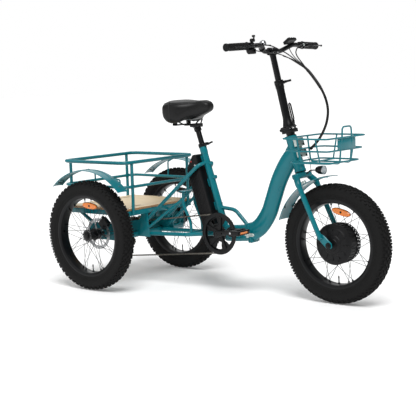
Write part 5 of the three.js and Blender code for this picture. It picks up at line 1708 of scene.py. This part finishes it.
for side, sign in (("right", -1), ("left", 1)):
    keep(settle(make_grip(sign), outboard(sign, 2)), f"{side}_ribbed_grip", "handlebar", [f"grip_{side}"])
    here = outboard(sign, -16)
    perch = make_perch(sign)
    if sign < 0:
        perch = merge(perch, make_shifter_pod())
    keep(settle(perch, here), f"{side}_brake_perch_and_clamp", "handlebar", [f"brake_perch_{side}"])
    blade = settle(make_lever(sign), here @ Matrix.Translation((0.035, sign * 0.005, -0.001)))
    keep(dye(blade, satin_black), f"{side}_brake_blade", f"brake_lever_{side}", [f"brake_lever_{side}"])
refined("shifter_lever", "shifter_lever", plastic_black, 1.6, "thumb_lever")

# %% [markdown]
# A small polished bell stands at the right of the clamp, and a tilted display with a dark window to
# the left of it.

# %% Bell and display
middle = [(a + b) / 2 * (-1 if i == 1 else 1) for i, (a, b) in enumerate(zip((0, 62, 0), (26, 128, 29)))]
BELL = BAR @ moved(middle) @ Vector((0, -1, 0)).rotation_difference(
    Vector((26, -66, 29)).normalized()).to_matrix().to_4x4()


def make_bell():
    ring = turn([(12, -5), (14.6, -5), (15, -4), (15, 4), (14.6, 5), (12, 5)], 36)
    stand = rod((0, 0, 12), (0, 0, 24), 4.4, 20)
    profile = [(0, 18.2), (4, 17.8), (8, 16.4), (11.6, 13.4), (14.4, 9.4), (16.2, 4.6), (17, 0), (16, 0),
               (14.4, 5),
               (10, 12), (4, 15.6), (0, 16)]
    dome = settle(turn(profile, 44, closed=False), Matrix.Translation((0, 0, 22 * MM)) @ tilted(90, "X"))
    cap = bolt((0, 0, 0.0398), (0, 0, 1), 2.6, 1.2, 3)
    return settle(merge(painted(satin_black, ring, stand), painted(bright_steel, dome, cap)), BELL)


keep(make_bell(), "domed_bell", "handlebar", ["bell"])
refined("bell_lever", "bell_lever", plastic_black, 1.0, "bell_striker")


def make_display():
    tilt = tilted(-35, "Y")
    shell = block((-20, -32, -7.5), (20, 32, 7.5), 4.5, 4)
    window = block((-15, -27, 6.6), (12, 27, 8.1), 1, 2)
    keys = [soften(rod((16.4, y, 6.8), (16.4, y, 8.4), 2.6, 20), 0.5 * MM) for y in (-18, 0, 18)]
    head = settle(merge(dye(shell, plastic_black), dye(window, gloss_black), painted(rubber_black, *keys)),
                  tilt)
    arm = dye(block((-15, -31, -17), (-1, -21, -1), 2), plastic_black)
    return settle(merge(head, arm), BAR @ Matrix.Translation((0.034, 0.098, 0.046)))


keep(make_display(), "tilted_display", "handlebar", ["display"])

# %% [markdown]
# ## Cables
#
# Two brake hoses, the gear cable and the display's lead leave the controls and meet ahead of the
# post, where a sleeve gathers them into one thick bundle. The bundle arcs forward and comes back to
# the frame beside the head tube. It is made in three runs, one across each joint that it passes:
# the bar's height, the fold of the post and the steering.

# %% Leads and bundle
def smooth_line(points, steps=8):
    """A smooth line through its points (Catmull-Rom), in metres from millimetres."""
    p = [Vector(q) for q in points]
    p = [2 * p[0] - p[1], *p, 2 * p[-1] - p[-2]]
    line = []
    for a, b, c, d in zip(p, p[1:], p[2:], p[3:]):
        for k in range(steps):
            t = k / steps
            line.append(0.5 * (2 * b + (c - a) * t + (2 * a - 5 * b + 4 * c - d) * t * t
                               + (3 * b - a - 3 * c + d) * t ** 3) * MM)
    return line + [p[-2] * MM]


BUNDLE = [(330, 24, 1138), (385, 28, 1118), (446, 31, 1082), (496, 33, 1030), (542, 35, 964), (562, 38, 898),
          (556, 40, 840), (534, 42, 790), (500, 42, 742), (460, 42, 706)]
right_perch, left_perch = (outboard(s, -16) for s in (-1, 1))


def world_mm(place, x, y, z):
    return tuple(place @ (Vector((x, y, z)) * MM) / MM)


LEADS = [
    ([world_mm(left_perch, 31, -21, 2.4), world_mm(left_perch, 40, -70, -4), (372, 74, 1166), (392, 46, 1138),
      (446, 34, 1084)], 2.6),
    ([world_mm(right_perch, 31, 21, 2.4), world_mm(right_perch, 52, 80, -4), (368, -48, 1164), (376, 4, 1142),
      (446, 29, 1084)], 2.6),
    ([world_mm(right_perch, 37, -2, -22), world_mm(right_perch, 58, 50, -34), (352, -60, 1150),
      (372, 2, 1130), (444, 31, 1080)], 2.3),
    ([(314, 92, 1192), (330, 76, 1172), (356, 56, 1150), (392, 38, 1124), (446, 32, 1086)], 1.9),
]
leads = [along(smooth_line(points), r, 4) for points, r in LEADS]
whole_line = smooth_line(BUNDLE)               # eight steps for each of the bundle's points
tail, upper, middle_run, lower = (along(whole_line[8 * i:8 * j + 1], r, 6)
                                  for i, j, r in ((0, 2, 2.4), (2, 4, 6), (4, 7, 6), (7, 9, 6)))
sleeve = along(whole_line[18:30], 7, 6)
ferrule = rod(BUNDLE[-1], (468, 42, 712), 7.2, 24)


def flexible(thing, name, body_a, body_b, replaced=()):
    """A piece of cable that runs between two bodies: hose finish, name, smooth shading, baked in place and
    riding on neither.
    """
    dye(thing, hose_black)
    pick(thing)
    thing.name = thing.data.name = name
    bpy.ops.object.shade_smooth_by_angle(angle=radians(60))
    if replaced:
        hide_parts(*replaced)
    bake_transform(thing)
    print(f"{name}: bends between {body_a} and {body_b}")


flexible(merge(*leads, tail, upper, sleeve), "cable_loom_upper", "handlebar_post", "handlebar",
         ["cable_bundle"])
flexible(middle_run, "cable_loom_middle", "fork", "handlebar_post")
flexible(merge(lower, ferrule), "cable_loom_lower", "front_frame", "fork")
lamp_lead = along(smooth_line([(486, 6, 600), (476, 12, 640), (466, 20, 660), (450, 30, 668)]), 1.4, 3)
keep(dye(lamp_lead, hose_black), "lamp_lead", "fork", angle=60)

# %% [markdown]
# ## Brakes and changer
#
# The calipers and the derailleur keep the outlines of their solids, with rounded edges, and the
# calipers gain the bolts that a mechanic would look for.

# %% Calipers and derailleur
for node, body in (("rear_right_caliper", "rear_frame"), ("rear_left_caliper", "rear_frame"),
                   ("front_caliper", "fork")):
    low, high = (Vector(c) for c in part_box(node))
    side = 1 if node == "rear_right_caliper" else -1
    spots = [((low.x + high.x) / 2 + dx, high.y if side > 0 else low.y,
              (low.z + high.z) / 2) for dx in (-0.006, 0.006)]
    screws = [bolt(Vector(s) - Vector((0, side * 0.001, 0)), (0, side, 0), 3.0, 1.0, 3) for s in spots]
    keep(merge(dye(refine(node, 2.2), satin_black), painted(bright_steel, *screws)), f"{node}_body", body,
         [node])
refined("derailleur", "rear_frame", satin_black, 1.0, "derailleur_cage")
